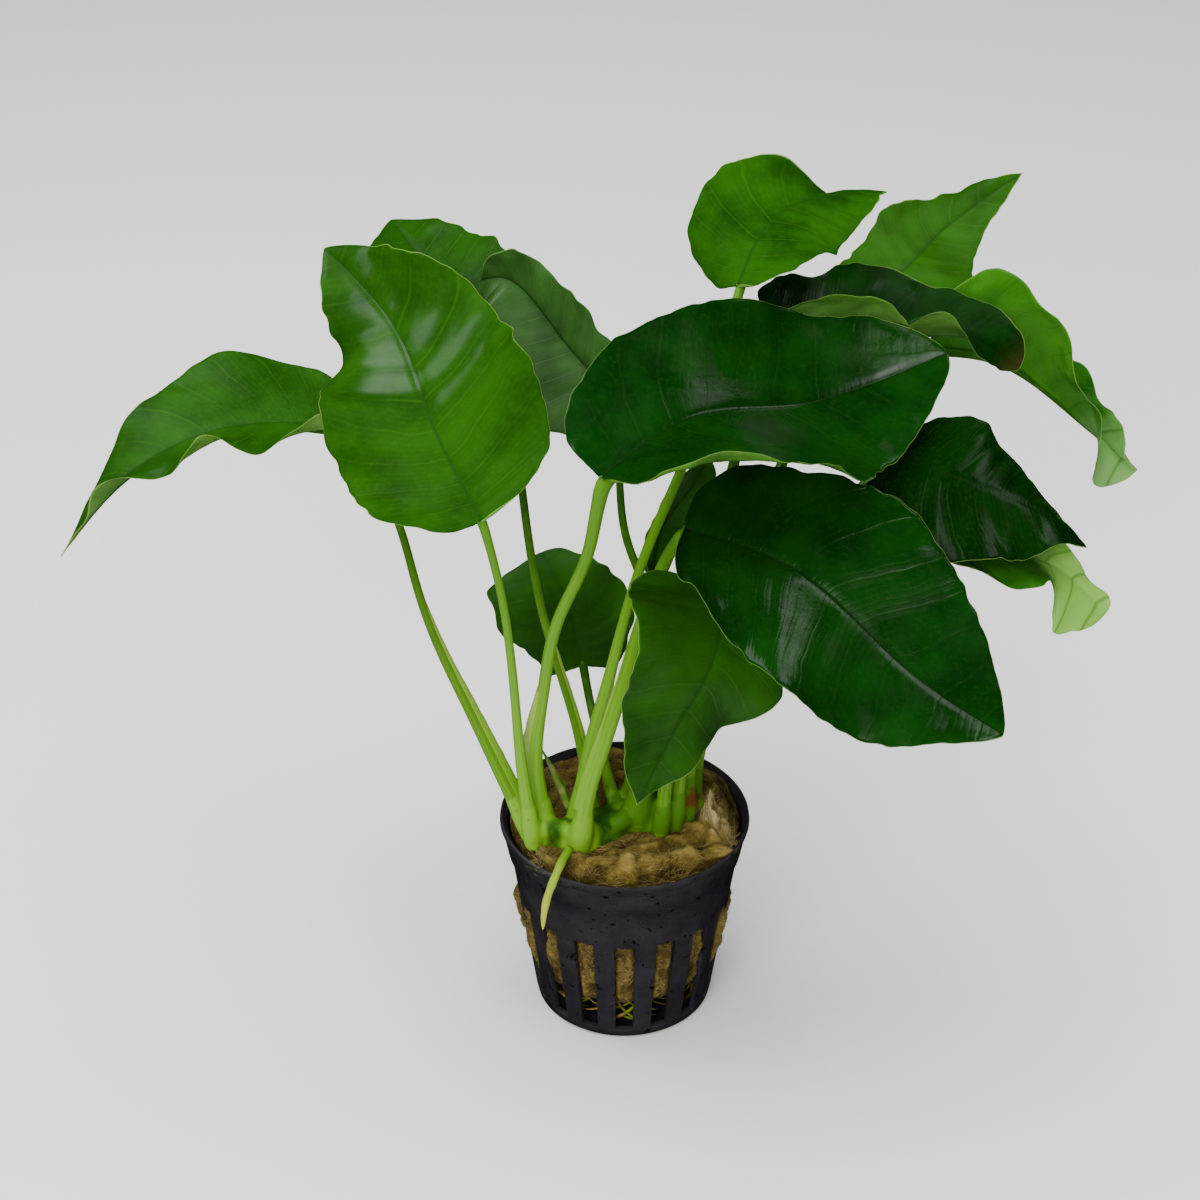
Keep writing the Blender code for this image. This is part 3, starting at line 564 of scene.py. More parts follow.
        tint=dict(Deep=(0.0004, 0.009, 0.0002), Fresh=(0.0012, 0.020, 0.0004)), green="dark"),
    "low_right": dict(
        midrib=[(57, 3, 116), (70, 4, 109), (84, 7, 105), (98, 4, 94)],
        facing=[(-97, 67), (-64, 88), (-50, 12)],
        half=(6, 15), fold=(6, 2), ripple=(-2, -2), ripples=2.5, lag=(0.1, 0.2), lobe=3, taper=0.4,
        margin=([0] * 18 + [-3, -3, -1, -1, -1, -2, -2],
                [0, 0, 0, 0, -2, -14, -15, -19, -26, -23, -19, -19, -18, -19, -27, -34, -43, -51, -38, -22,
                 -4, 8, 4, -4, -4]),
        stalk=[(10.7, -7.2, 50.8), (11.6, -6.3, 62.5), (13.9, -5.8, 73.7), (20.8, -5, 84.5),
               (31.1, -2.5, 92.6), (42, 0, 99)],
        thick=(1.5, 1.3, 1.2, 1.1, 1.1, 1), matt=0.45, shine=0.35, tip=((0.22, 0.46, 0.07), 0.70),
        green="bright"),
    "young": dict(
        midrib=[(6, 21, 94), (8, 24, 103), (13, 24, 111), (17, 28, 117)],
        facing=[(-45, 20), (-50, 20), (-60, 20)],
        half=(7, 5), fold=(25, 25), ripple=(-0.5, -0.5), ripples=2.5, lag=(0.5, 0.5), lobe=3, taper=0.5,
        stalk=[(2.5, -5.2, 49.8), (4.2, -3, 59.6), (7.1, 1, 68.2), (9.8, 7, 75), (10.5, 13, 80)],
        thick=(2.6, 2.2, 1.7, 1.4, 1.2), matt=0.5, green="middle"),
}
bladeMake = dict(
    across=60, along=120, steps=61, thickness=0.75, edgeShare=0.3, veins=10, paleEdge=0.12,
    quilt=0.12, swellRoom=3, groove=(0.25, 0.9), ribSpread=5, lobeSpot=0.08, sweep=1.3, start=1.5,
    rippleGrowth=2.5, curlGrowth=7, marginSteps=241,
    # fine unevenness and scallops of the margin: height, length and seed
    uneven=(0.55, 6.0, 3.1), scallop=(0.75, 3.2, 7.7))


def facingAt(facing, share):
    vectors = []
    for azimuth, elevation in facing:
        a, e = math.radians(azimuth), math.radians(elevation)
        vectors.append(np.array([math.cos(a) * math.cos(e), math.sin(a) * math.cos(e), math.sin(e)]))
    first = (1 - share) * (1 - 2 * share)
    middle = 4 * share * (1 - share)
    last = share * (2 * share - 1)
    return first[:, None] * vectors[0] + middle[:, None] * vectors[1] + last[:, None] * vectors[2]


def midribLine(leaf):
    steps = bladeMake["steps"]
    centre = smoothRoute(leaf["midrib"], steps)
    along = unit(np.gradient(centre, axis=0))
    upper = facingAt(leaf["facing"], np.linspace(0, 1, steps))
    upper = unit(upper - (upper * along).sum(1)[:, None] * along)
    return centre, along, upper


def marginShare(offsets, u):
    steps = np.linspace(0, 1, len(offsets))
    curve = smoothRoute(np.stack([steps, (100 + np.array(offsets)) / 100], axis=1),
                        bladeMake["marginSteps"])
    return np.interp(u, curve[:, 0], curve[:, 1])


def bladePoints(leaf, u, v):
    # u runs from the joint to the tip, v from the left edge over the midrib to the right edge
    steps = bladeMake["steps"]
    centre, along, upper = midribLine(leaf)
    length = walked(centre)[-1]
    side = np.cross(along, upper)
    reach = np.abs(v)
    left = v < 0

    def ofSide(pair):
        return np.where(left, pair[0], pair[1])

    taper = leaf["taper"]
    widest = 0.5 / (0.5 + taper)
    width = np.sqrt(u) * (1 - u) ** taper / (math.sqrt(widest) * (1 - widest) ** taper)
    spot = bladeMake["lobeSpot"]
    back = leaf["lobe"] / length * (u / spot) * np.exp(1 - u / spot)
    start = u ** bladeMake["start"]
    station = start + (u - back - start) * reach ** bladeMake["sweep"]
    half = ofSide(leaf["half"])
    fold = np.radians(ofSide(leaf["fold"]))
    if "margin" in leaf:
        half = half * ofSide([marginShare(offsets, u) for offsets in leaf["margin"]])
    out = width * half * reach
    wave = ofSide(leaf["ripple"]) * np.sin(fullTurn * (leaf["ripples"] * u + ofSide(leaf["lag"])))
    rise = out * np.sin(fold) + wave * reach ** bladeMake["rippleGrowth"] * np.minimum(1, width * 1.6)
    for curlSide, middle, span, lift in leaf.get("curls", []):
        curl = lift * np.exp(-((u - middle) / span) ** 2) * reach ** bladeMake["curlGrowth"]
        rise = rise + curl * (v * curlSide > 0)
    # the tissue swells a little between the side veins and sinks into the midrib
    swell = np.abs(np.sin(math.pi * (bladeMake["veins"] * u + 0.25 * left))) ** 0.8
    room = np.minimum(1, out / bladeMake["swellRoom"]) * softStep(0, 0.25, 1 - reach)
    depth, reachOfGroove = bladeMake["groove"]
    rise = rise + leaf.get("relief", bladeMake["quilt"]) * (swell - 0.6) * room
    rise = rise - depth * np.exp(-(out / reachOfGroove) ** 2) * np.minimum(1, width * 2)
    sideways = np.sign(v) * out * np.cos(fold)
    spot = np.clip(station, 0, 1) * (steps - 1)
    low = np.minimum(spot.astype(int), steps - 2)
    part = (spot - low)[:, None]

    def alongMidrib(values):
        return values[low] * (1 - part) + values[low + 1] * part

    overhang = np.minimum(station, 0)[:, None] * length * along[0]
    points = alongMidrib(centre) + overhang + alongMidrib(side) * sideways[:, None]
    points = points + alongMidrib(upper) * rise[:, None]
    margin = softStep(0.55, 1.0, reach) * np.minimum(1, width * 2)
    high, size, seed = bladeMake["uneven"]
    points = points + alongMidrib(upper) * (high * noisy(points, size, seed) * margin)[:, None]
    high, size, seed = bladeMake["scallop"]
    scallops = high * noisy(points, size, seed) * margin * np.sign(v)
    points = points + alongMidrib(side) * scallops[:, None]
    return points, out, half * width * (1 - reach)


def wetPatches(patches, u, v):
    wet = np.zeros(len(u))
    for level, low, high, left, right in patches:
        patch = softStep(low - 0.05, low + 0.03, u) * softStep(high + 0.06, high - 0.02, u)
        patch *= softStep(left - 0.1, left + 0.1, v) * softStep(right + 0.1, right - 0.1, v)
        wet = np.maximum(wet, level * patch)
    return wet


def thinOut(piece, fromRib, fromEdge):
    # thick along the midrib, thin beside it and sharp at the rim
    group = piece.vertex_groups.new(name="thickness")
    thin = bladeMake["edgeShare"]
    weights = thin + (1 - thin) * np.exp(-(fromRib / bladeMake["ribSpread"]) ** 2)
    weights *= softStep(-0.6, 1.2, fromEdge)
    for index, weight in enumerate(weights):
        group.add([index], float(weight), "REPLACE")


def bladeSkins(name, leaf):
    upperGreens, underGreens = leafGreens[leaf["green"]]
    upperGreens = {**upperGreens, **leaf.get("tint", {})}
    veinShow = leaf.get("veinShow", 0.07 if leaf["green"] == "dark" else 0.18)
    tip = leaf.get("tip")
    upper = leafMaterial("upper " + name, upperGreens, veinShow, 0.7, leaf["matt"], 0.4,
                         leaf.get("shine", 0.5), tip, leaf.get("film"))
    return upper, leafMaterial("under " + name, underGreens, 0.4, 0.4, 0.45, 0.45, 0.5, tip)


def growBlade(name, leaf):
    piece, x, y = sheetOf("leaf_" + name, bladeMake["across"], bladeMake["along"])
    u = y * y * (3 - 2 * y)
    v = 2 * x - 1
    points, fromRib, fromEdge = bladePoints(leaf, u, v)
    place(piece, points)
    paint(piece, "ribDistance", fromRib)
    paint(piece, "edgeDistance", fromEdge)
    if "film" in leaf:
        paint(piece, "wetFilm", wetPatches(leaf["film"]["patches"], u, v))
    setUv(piece, x, u)
    thinOut(piece, fromRib, fromEdge)
    for skin in bladeSkins(name, leaf):
        piece.data.materials.append(skin)
    closeUp(piece, reach=0.01, outwards=False)
    modify(piece, "SOLIDIFY", thickness=bladeMake["thickness"] * mm, offset=0.0, vertex_group="thickness",
           material_offset=1, use_quality_normals=True)
    applyModifiers(piece)
    bpy.ops.object.shade_smooth()
    finishPiece(piece, None, ["blade_" + name])


for leafName, leaf in leaves.items():
    growBlade(leafName, leaf)
print("leaf blades grown")


# Stalks: each runs on under its blade as the midrib
stalkMake = dict(
    rings=120, around=18, cornerRound=2.2, footDepth=2.5, ribEnd=0.97, ribTaper=0.85, ribSink=0.12, tip=0.1,
    # how much thicker at the foot and at the joint, and over what length
    flare=(0.25, 5.0), jointSwell=(0.12, 4.0), mottle=(0.18, 0.35, 0.02),
    scar=(14.6, -4.9, 53.6), scarShade=(0.12, 0.030, 0.006),
    # low on the stalk, then high
    greens={"pale": ((0.17, 0.385, 0.012), (0.070, 0.205, 0.004)),
            "deep": ((0.12, 0.29, 0.007), (0.014, 0.075, 0.001))})


def scarred(n, color):
    # the red-brown mark that a fallen leaf left
    apart = n.add("ShaderNodeVectorMath", operation="DISTANCE")
    n.join(n.objectCoords(), apart.inputs[0])
    apart.inputs[1].default_value = [c * mm for c in stalkMake["scar"]]
    frayed = n.plus(apart.outputs["Value"], n.times(n.noise(700.0, 3.0), 0.005))
    return n.mix(n.mapRange(frayed, 0.0042, 0.0056, 0.92, 0.0), color, stalkMake["scarShade"])


def stalkMaterial(name, low, high):
    made, n, shader = newMaterial(name, 0.42, {
        "Subsurface Weight": 0.12, "Subsurface Radius": (0.6, 1.0, 0.3), "Subsurface Scale": 0.0015})
    across, along, rest = n.uvParts()
    color = n.mix(n.mapRange(along, 0.0, 0.6), low, high)
    streak = n.times(n.math("SINE", n.times(across, 56.5)), 0.5)
    streaks = n.mapRange(n.plus(streak, n.times(n.noise(120.0), 0.6)), 0.3, 0.9, 0.0, 0.35)
    color = n.mix(streaks, color, high)
    color = n.mix(n.mapRange(n.noise(260.0, 3.0), 0.5, 0.75, 0.0, 0.2), color, stalkMake["mottle"])
    dress(n, shader, scarred(n, color), n.plus(n.times(streak, 0.5), n.noise(700.0, 2.0)), 0.25)
    return made


stalkSkins = {key: stalkMaterial(key + " stalk", *pair) for key, pair in stalkMake["greens"].items()}


def roundCorners(line, walk, reach):
    # each point moves to the mean of its neighbours within the reach; the ends stay
    weight = np.exp(-((walk[:, None] - walk[None, :]) / reach) ** 2)
    mean = (weight[:, :, None] * line[None]).sum(1) / weight.sum(1)[:, None]
    hold = np.minimum(softStep(0, 3 * reach, walk), softStep(0, 3 * reach, walk[-1] - walk))
    return line + (mean - line) * hold[:, None]


# Papery sheaths: start and end say where on the stalk, side is the way they stand off it
sheaths = {
    "far_left": dict(start=0.02, end=0.58, side=(1.0, 0.1, 0.25), width=1.7, fray=0.5),
    "centre": dict(start=0.0, end=0.44, side=(-1.0, -0.2, 0.0), width=2.6, fray=0.35),
    "front_right": dict(start=0.12, end=0.60, side=(-1.0, -0.35, 0.1), width=0.9, fray=0.4),
    "top_middle": dict(start=0.02, end=0.30, side=(1.0, -0.3, 0.0), width=1.5, fray=0.2),
    "back_left": dict(start=0.05, end=0.42, side=(1.0, -0.2, 0.0), width=0.9, fray=0.4),
}
sheathMake = dict(across=8, along=70, thickness=0.16, low=(0.16, 0.36, 0.015), high=(0.29, 0.44, 0.07),
                  streak=(0.14, 0.32, 0.02), dry=(0.16, 0.07, 0.02))


def sheathMaterial():
    made, n, shader = newMaterial("papery sheath", 0.5)
    reach, along, rest = n.uvParts()
    streaks = n.noise(900.0, 3.0, 0.6)
    color = n.mix(n.mapRange(along, 0.1, 0.95), sheathMake["low"], sheathMake["high"])
    color = n.mix(n.mapRange(streaks, 0.4, 0.7, 0.0, 0.4), color, sheathMake["streak"])
    dry = n.times(n.mapRange(reach, 0.86, 0.97), n.mapRange(along, 0.35, 0.7, 0.0, 0.7))
    dry = n.times(dry, n.mapRange(n.noise(300.0), 0.35, 0.55))
    brown = n.math("MAXIMUM", dry, n.mapRange(along, 0.95, 1.0))
    dress(n, shader, n.mix(n.times(brown, 0.85), color, sheathMake["dry"]), streaks)
    return made


sheathPaper = sheathMaterial()


def onRoute(spot, share, line):
    return np.stack([np.interp(spot, share, line[:, axis]) for axis in range(3)], axis=1)


def growSheath(line, radii, share, start, end, side, width, fray):
    wing, x, y = sheetOf("sheath", sheathMake["across"], sheathMake["along"])
    spot = start + (end - start) * y
    centre = onRoute(spot, share, line)
    along = unit(onRoute(spot + 0.01, share, line) - centre)
    radius = np.interp(spot, share, radii)
    side = np.array(side, float)
    out = unit(side - (along @ side)[:, None] * along)
    over = np.cross(along, out)
    grown = np.sqrt(np.clip(1 - y, 0, 1)) * (1 - 0.35 * y) + 0.04
    ragged = fray * 0.25 * noisy(centre, 2.2, 31.0)
    stand = width * grown * (1 + ragged) * x
    curl = 0.55 * radius * (1 - x) - 0.5 * x ** 2 * width * grown
    away = out * (0.75 * radius + stand)[:, None]
    bend = over * curl[:, None] * np.sign(over[:, 1:2] + 1e-9)
    place(wing, centre + away - bend)
    setUv(wing, x, y)
    wing.data.materials.append(sheathPaper)
    modify(wing, "SOLIDIFY", thickness=sheathMake["thickness"] * mm, offset=0.0)
    applyModifiers(wing)
    bpy.ops.object.shade_smooth()
    return wing


def growStalk(name, leaf):
    centre, along, upper = midribLine(leaf)
    last = bladeMake["steps"] - 1
    thick = leaf["thick"]
    share = np.linspace(0, 1, last + 1)[:int(stalkMake["ribEnd"] * last)]
    ribRadius = thick[-1] * (1 - share) ** stalkMake["ribTaper"] + stalkMake["ribSink"]
    rib = centre[:len(share)] - upper[:len(share)] * ribRadius[:, None]
    foot, above = np.array(leaf["stalk"][:2], float)
    start = foot + unit(foot - above) * stalkMake["footDepth"]
    stem = smoothRoute([start, *leaf["stalk"], rib[0]], stalkMake["rings"])
    line = np.concatenate([stem[:-1], rib])
    walk = walked(line)
    jointAt = walk[len(stem) - 1]
    even = np.linspace(0, walk[-1], stalkMake["rings"] + 1)
    line = roundCorners(onRoute(even, walk, line), even, stalkMake["cornerRound"])
    walk = even
    onRib = np.clip((walk - jointAt) / (walk[-1] - jointAt), 0, 1)
    radii = listed(thick, np.clip(walk / jointAt, 0, 1))
    for spot, (swell, length) in ((0, stalkMake["flare"]), (jointAt, stalkMake["jointSwell"])):
        radii = radii * (1 + swell * np.exp(-((walk - spot) / length) ** 2))
    radii = radii * (1 - onRib) ** stalkMake["ribTaper"] + stalkMake["tip"] * onRib
    radii[0] = radii[-1] = 0.0
    piece = tube("leafstalk_" + name, line, radii, stalkMake["around"])
    piece.data.materials.append(stalkSkins[leaf.get("stem", "deep")])
    if name in sheaths:
        joinTo(piece, [growSheath(line, radii, walk / jointAt, **sheaths[name])])
    finishPiece(piece, None, ["stalk_" + name])


for leafName, leaf in leaves.items():
    growStalk(leafName, leaf)
print("stalks grown")


# Rhizome: a swollen creeping stem with a foot under each stalk
rhizomeMake = dict(
    route=[(-19.5, -9, 48.5), (-14, -10, 47), (-7, -9, 47), (0, -3, 46.5), (8, -4, 47), (15, -3, 48)],
    radii=[2.8, 4.6, 4.9, 4.3, 4.7, 3.4], rings=90, around=40, voxel=0.4, soften=(0.6, 16),
    # how far up each stalk's foot, and how thick it is there
    footReach=[-5.0, -3.0, 0.0, 2.0, 4.0, 6.5, 8.0, 9.0],
    footSwell=[0.0, 1.15, 1.32, 1.26, 1.13, 1.0, 0.85, 0.0],
    # rounded swellings: under the left stalks, and the ones that show between the others
    lumps=[([(-21.5, -9.0, 49.0), (-17.5, -10.5, 48.0), (-12.0, -12.0, 48.0)], 2.7),
           ([(-19.5, -11.5, 50.4), (-16.0, -11.5, 50.8), (-11.5, -12.3, 50.4)], 2.5),
           ([(-3.5, -9.5, 49.5), (-1.5, -8.5, 50.3), (0.5, -7.0, 49.8)], 2.3),
           ([(6.5, -4.0, 50.5), (8.5, -5.0, 51.0), (10.5, -5.0, 50.4)], 2.4),
           ([(13.5, -2.0, 50.5), (15.0, -2.4, 50.8), (16.5, -2.2, 50.0)], 1.7)],
    light=(0.055, 0.17, 0.006), dark=(0.012, 0.055, 0.002), leftFeet=(0.17, 0.38, 0.016),
    rightFeet=(0.065, 0.19, 0.004), low=(0.07, 0.045, 0.006), spots=(0.10, 0.05, 0.008))


def footShare(points):
    # 1 on a stalk's foot, 0 well away from all of them
    share = np.zeros(len(points))
    for leaf in leaves.values():
        start, above = np.array(leaf["stalk"][:2], float)
        direction = unit(above - start)
        along = np.clip((points - start) @ direction, -1.0, 12.0)
        away = np.linalg.norm(points - start - along[:, None] * direction, axis=1)
        share = np.maximum(share, softStep(2.3, 1.5, away / leaf["thick"][0]))
    return share


def rhizomeMaterial():
    made, n, shader = newMaterial("rhizome", 0.3)
    coords = n.objectCoords()
    fromLeft, fromFront, height = n.split(coords)
    patches = n.mapRange(n.noise(260.0, 4.0, 0.6, coords), 0.38, 0.62)
    color = n.mix(patches, rhizomeMake["light"], rhizomeMake["dark"])
    foot = n.mix(n.mapRange(fromLeft, -0.008, 0.002), rhizomeMake["leftFeet"], rhizomeMake["rightFeet"])
    color = n.mix(n.attribute("nearFoot"), color, foot)
    wavy = n.plus(height, n.times(n.noise(260.0, 3.0, 0.6, coords), 0.006))
    color = n.mix(n.mapRange(wavy, 0.0475, 0.0505, 0.85, 0.0), color, rhizomeMake["low"])
    spots = n.mapRange(n.noise(420.0, 4.0, 0.65, coords), 0.63, 0.72, 0.0, 0.7)
    color = n.mix(spots, color, rhizomeMake["spots"])
    dress(n, shader, scarred(n, color), n.noise(500.0, 4.0, 0.6, coords), 0.5, 0.0004)
    return made


def makeRhizome():
    line = smoothRoute(rhizomeMake["route"], rhizomeMake["rings"] + 1)
    share = np.linspace(0, 1, len(line))
    radii = listed(rhizomeMake["radii"], share) * (1 + 0.06 * np.sin(share * 46.0))
    radii *= np.sqrt(np.clip(1 - (2 * share - 1) ** 12, 0, 1))
    body = tube("rhizome_stem", line, radii, rhizomeMake["around"])
    knobs = []
    for leaf in leaves.values():
        foot, above = np.array(leaf["stalk"][:2], float)
        height = np.linspace(rhizomeMake["footReach"][0], rhizomeMake["footReach"][-1], 29)
        radii = leaf["thick"][0] * np.interp(height, rhizomeMake["footReach"], rhizomeMake["footSwell"])
        knobs.append(tube("foot", foot + unit(above - foot) * height[:, None], radii))
    for route, radius in rhizomeMake["lumps"]:
        radii = radius * np.sqrt(np.clip(1 - np.linspace(-1, 1, 25) ** 6, 0, 1))
        knobs.append(tube("lump", smoothRoute(route, 25), radii))
    joinTo(body, knobs)
    modify(body, "REMESH", mode="VOXEL", voxel_size=rhizomeMake["voxel"] * mm, use_smooth_shade=True)
    factor, iterations = rhizomeMake["soften"]
    modify(body, "SMOOTH", factor=factor, iterations=iterations)
    applyModifiers(body)
    paint(body, "nearFoot", footShare(pointsOf(body) / mm))
    finishPiece(body, rhizomeMaterial(), ["rhizome"])


makeRhizome()


# Aerial root and dry scale
rootMake = dict(
    route=[(-11.6, -16.4, 48.8), (-12.8, -20.5, 49.6), (-14.2, -24.3, 48.6), (-16.2, -25.8, 43),
           (-17, -26, 35.5)],
    radii=[0.95, 0.9, 0.84, 0.78, 0.42],
    start=(0.14, 0.34, 0.010), end=(0.42, 0.45, 0.018), hairs=(0.30, 0.38, 0.04))
scaleMake = dict(route=[(-11.6, -4.0, 50.5), (-13.6, -2.0, 55), (-17.4, 1.0, 62)], radii=[1.5, 1.2, 0.2],
                 flat=0.35, green=(0.07, 0.17, 0.008), dry=(0.24, 0.24, 0.07))


def makeRoot():
    line = smoothRoute(rootMake["route"], 61)
    share = np.linspace(0, 1, len(line))
    radii = listed(rootMake["radii"], share)
    radii = radii * (1 + 0.05 * np.sin(share * 30)) * np.sqrt(np.clip(1 - share ** 14, 0, 1))
    radii[0] = 0
    piece = tube("hanging_root", line, radii, 16)
    made, n, shader = newMaterial("aerial root", 0.5)
    color = n.mix(n.mapRange(n.uvParts()[1], 0.1, 0.8), rootMake["start"], rootMake["end"])
    color = n.mix(n.mapRange(n.noise(500.0, 3.0), 0.4, 0.7, 0.0, 0.4), color, rootMake["hairs"])
    dress(n, shader, color, n.noise(900.0, 3.0), 0.4)
    finishPiece(piece, made, ["aerial_root"])


def makeScale():
    line = smoothRoute(scaleMake["route"], 41)
    radii = listed(scaleMake["radii"], np.linspace(0, 1, len(line)))
    radii[0] = radii[-1] = 0
    flat = scaleMake["flat"]
    piece = tube("withered_scale", line, radii, 20,
                 shape=lambda angle: flat + (1 - flat) * np.abs(np.cos(angle)))
    made, n, shader = newMaterial("dry scale", 0.6)
    dress(n, shader, n.mix(n.mapRange(n.noise(300.0, 3.0), 0.35, 0.7), scaleMake["green"], scaleMake["dry"]))
    finishPiece(piece, made, ["dry_scale"])


makeRoot()
makeScale()
print("rhizome, root and scale made")


# Net pot: a disc drawn up ring by ring, with the slots taken out of its wall
potMake = dict(
    baseRadius=18.9, rimRadius=26.5, wall=1.2, collarHeight=38.0, collarRadius=24.3, collarStep=0.6,
    slots=16, perSlot=12, slotShare=6, slotBottom=2.6, slotTop=28.0, footStep=0.8, bevel=0.25,
    # how far each ring of the rim lies inside its radius, and its height
    rim=[(0.65, 43.6), (0.3, 45.0), (0, 45.5), (0.1, 46.2), (0.6, 46.5)],
    dark=(0.0165, 0.015, 0.0187), light=(0.0255, 0.0235, 0.0285), speck=(0.003, 0.002, 0.004))
pitch = fullTurn / potMake["slots"]


def wallRadius(height):
    widening = potMake["collarRadius"] - potMake["baseRadius"]
    return potMake["baseRadius"] + widening * height / potMake["collarHeight"]


def fromSlotMiddle(angle):
    turn = angle + math.pi / 2
    return np.abs((turn + pitch / 2) % pitch - pitch / 2)


def potMaterial():
    made, n, shader = newMaterial("pot plastic", 0.42)
    coords = n.objectCoords()
    color = n.mix(n.mapRange(n.noise(160.0, 4.0, 0.6, coords), 0.35, 0.7), potMake["dark"], potMake["light"])
    specks = n.mapRange(n.noise(620.0, 2.0, 0.5, coords, 0.3), 0.655, 0.70)
    rough = n.mapRange(n.noise(260.0, 3.0, 0.6, coords), 0.3, 0.7, 0.36, 0.52)
    n.join(rough, shader.inputs["Roughness"])
    height = n.plus(n.times(specks, 1.2), n.times(n.noise(3200.0, 2.0, 0.5, coords), 0.3))
    dress(n, shader, n.mix(specks, color, potMake["speck"]), height, 0.8)
    return made


def makePot():
    collar = potMake["collarRadius"]
    rings = [(potMake["baseRadius"], potMake["footStep"])]
    rings += [(wallRadius(z), z) for z in (potMake["slotBottom"], potMake["slotTop"], 30.0, 34.0)]
    rings += [(collar, potMake["collarHeight"]), (collar + potMake["collarStep"], 38.6)]
    rings += [(potMake["rimRadius"] - inset, z) for inset, z in potMake["rim"]]
    count = potMake["slots"] * potMake["perSlot"]
    start = potMake["baseRadius"] - potMake["footStep"]
    bpy.ops.object.select_all(action="DESELECT")
    bpy.ops.mesh.primitive_circle_add(vertices=count, radius=start * mm, fill_type="NGON")
    pot = bpy.context.object
    pot.name = "net_pot"
    bpy.ops.object.mode_set(mode="EDIT")
    bpy.ops.mesh.select_all(action="SELECT")
    bpy.ops.mesh.region_to_loop()
    radius, height = start, 0.0
    for nextRadius, nextHeight in rings:
        bpy.ops.mesh.extrude_edges_move(TRANSFORM_OT_translate={"value": (0, 0, (nextHeight - height) * mm)})
        bpy.ops.transform.resize(value=(nextRadius / radius, nextRadius / radius, 1))
        radius, height = nextRadius, nextHeight
    bpy.ops.mesh.select_all(action="DESELECT")
    bpy.ops.object.mode_set(mode="OBJECT")
    middle = (potMake["slotBottom"] + potMake["slotTop"]) / 2 * mm
    openHalf = pitch * potMake["slotShare"] / potMake["perSlot"] / 2
    for face in pot.data.polygons:
        if abs(face.center.z - middle) < 0.1 * mm:
            face.select = bool(fromSlotMiddle(math.atan2(face.center.y, face.center.x)) < openHalf)
    bpy.ops.object.mode_set(mode="EDIT")
    bpy.ops.mesh.delete(type="FACE")
    bpy.ops.mesh.select_all(action="SELECT")
    bpy.ops.mesh.normals_make_consistent(inside=False)
    bpy.ops.object.mode_set(mode="OBJECT")
    modify(pot, "SOLIDIFY", thickness=potMake["wall"] * mm, offset=-1.0)
    modify(pot, "BEVEL", width=potMake["bevel"] * mm, segments=3, limit_method="ANGLE",
           angle_limit=math.radians(50))
    applyModifiers(pot)
    bpy.ops.object.shade_smooth_by_angle(angle=math.radians(40))
    finishPiece(pot, potMaterial(), ["pot"])


makePot()
print("pot made")


# Rock wool: a plug of wet felt that bulges through the slots and over the rim
woolMake = dict(
    around=520, along=260, bottom=9.0, flatTop=46.0, layer=5.2, layerRise=0.9, shoulder=0.022,
    # the cushions: half an angle in radians, heights where they begin and end, how far out
    slotHalf=(0.115, 0.05), slotLow=(9.0, 13.5), slotHigh=(29.5, 25), push=(0.65, 0.8),
    # height of the middle and of the edge at the rim
    level=(47.4, 45.0),
    # folds: points along the fold, rise, half width
    folds=[([(-20, -13), (-15, -18), (-8, -20.4), (0, -21.0), (8, -19.6), (15, -16.5), (19.5, -13.5)],
            3.2, 2.1),
           ([(-2, -16.5), (3, -15.5), (8, -13.5), (13, -10.5), (17, -7)], 1.9, 1.3),
           ([(4, -11.5), (9, -9.8), (13, -7.2)], 0.9, 1.4),
           ([(14.0, -9.0), (17.5, -9.5), (20.5, -13.0)], 2.4, 2.4),
           ([(21, -4), (21.6, 3), (19.5, 10), (14, 17)], 1.9, 2.4),
           ([(-21, 1), (-17.5, 11), (-9, 18.5), (2, 20.5)], 1.2, 2.6),
           ([(-12, 3), (-6, 9), (3, 12), (11, 9)], 1.0, 2.0),
           ([(-22, -6), (-21, -12), (-17, -16.5)], 1.4, 1.6)],
    # the torn crest on the right
    tear=[(16.4, -2.6), (18.2, -3.6), (19.8, -6.0), (21.0, -9.6), (21.6, -12.6), (21.6, -15.0)],
    tearRise=4.0, tearHalf=1.6,
    # x, y, rise, spread: the tuft and the clumps
    lumps=[(17.6, -3.6, 2.6, 1.3), (20.8, -15.2, 1.6, 1.7), (-16.8, -17.6, 2.2, 1.9),
           (-7.7, -22.6, 1.6, 1.8), (3.0, -13.0, -0.8, 2.0)],
    # angle in degrees, half width, how far the felt hangs over the rim
    spills=[(-34, 7, 3.2), (-132, 6, 1.6), (-110, 5, 1.4), (35, 14, 0.9)],
    # angle of the slots where the felt pushes far out
    bulges=[(180, 1.9), (-157.5, 1.2), (0, 1.3), (-22.5, 1.4), (22.5, 0.4), (-135, 0.5), (157.5, 0.6)],
    deep=(0.085, 0.052, 0.006), light=(0.28, 0.205, 0.042),
    # painted shade where the felt is sunk, in its pleats and behind the pot's wall, and painted highlight
    # where it stands out: values, how strongly, colour
    crestShadeAndHighlight=[(-0.35, 0.15, 0.85, 0.0, (0.020, 0.011, 0.0012)), (0.15, 0.7, 0.0, 0.7, (0.44, 0.32, 0.075)),
                (0.75, 1.3, 0.0, 0.8, (0.72, 0.61, 0.30))])
fibreMake = dict(
    count=5600, segments=5, radius=0.05, length=(2.0, 6.5), onTop=0.72, stand=(0.05, 1.1), lean=0.9,
    # how far the felt runs round the plug and from its underside to its top
    felt=(24.0 * fullTurn, 125.0), topSpan=(0.68, 0.98), slotSpan=(0.26, 0.5),
    deep=(0.14, 0.095, 0.016), light=(0.50, 0.40, 0.15))
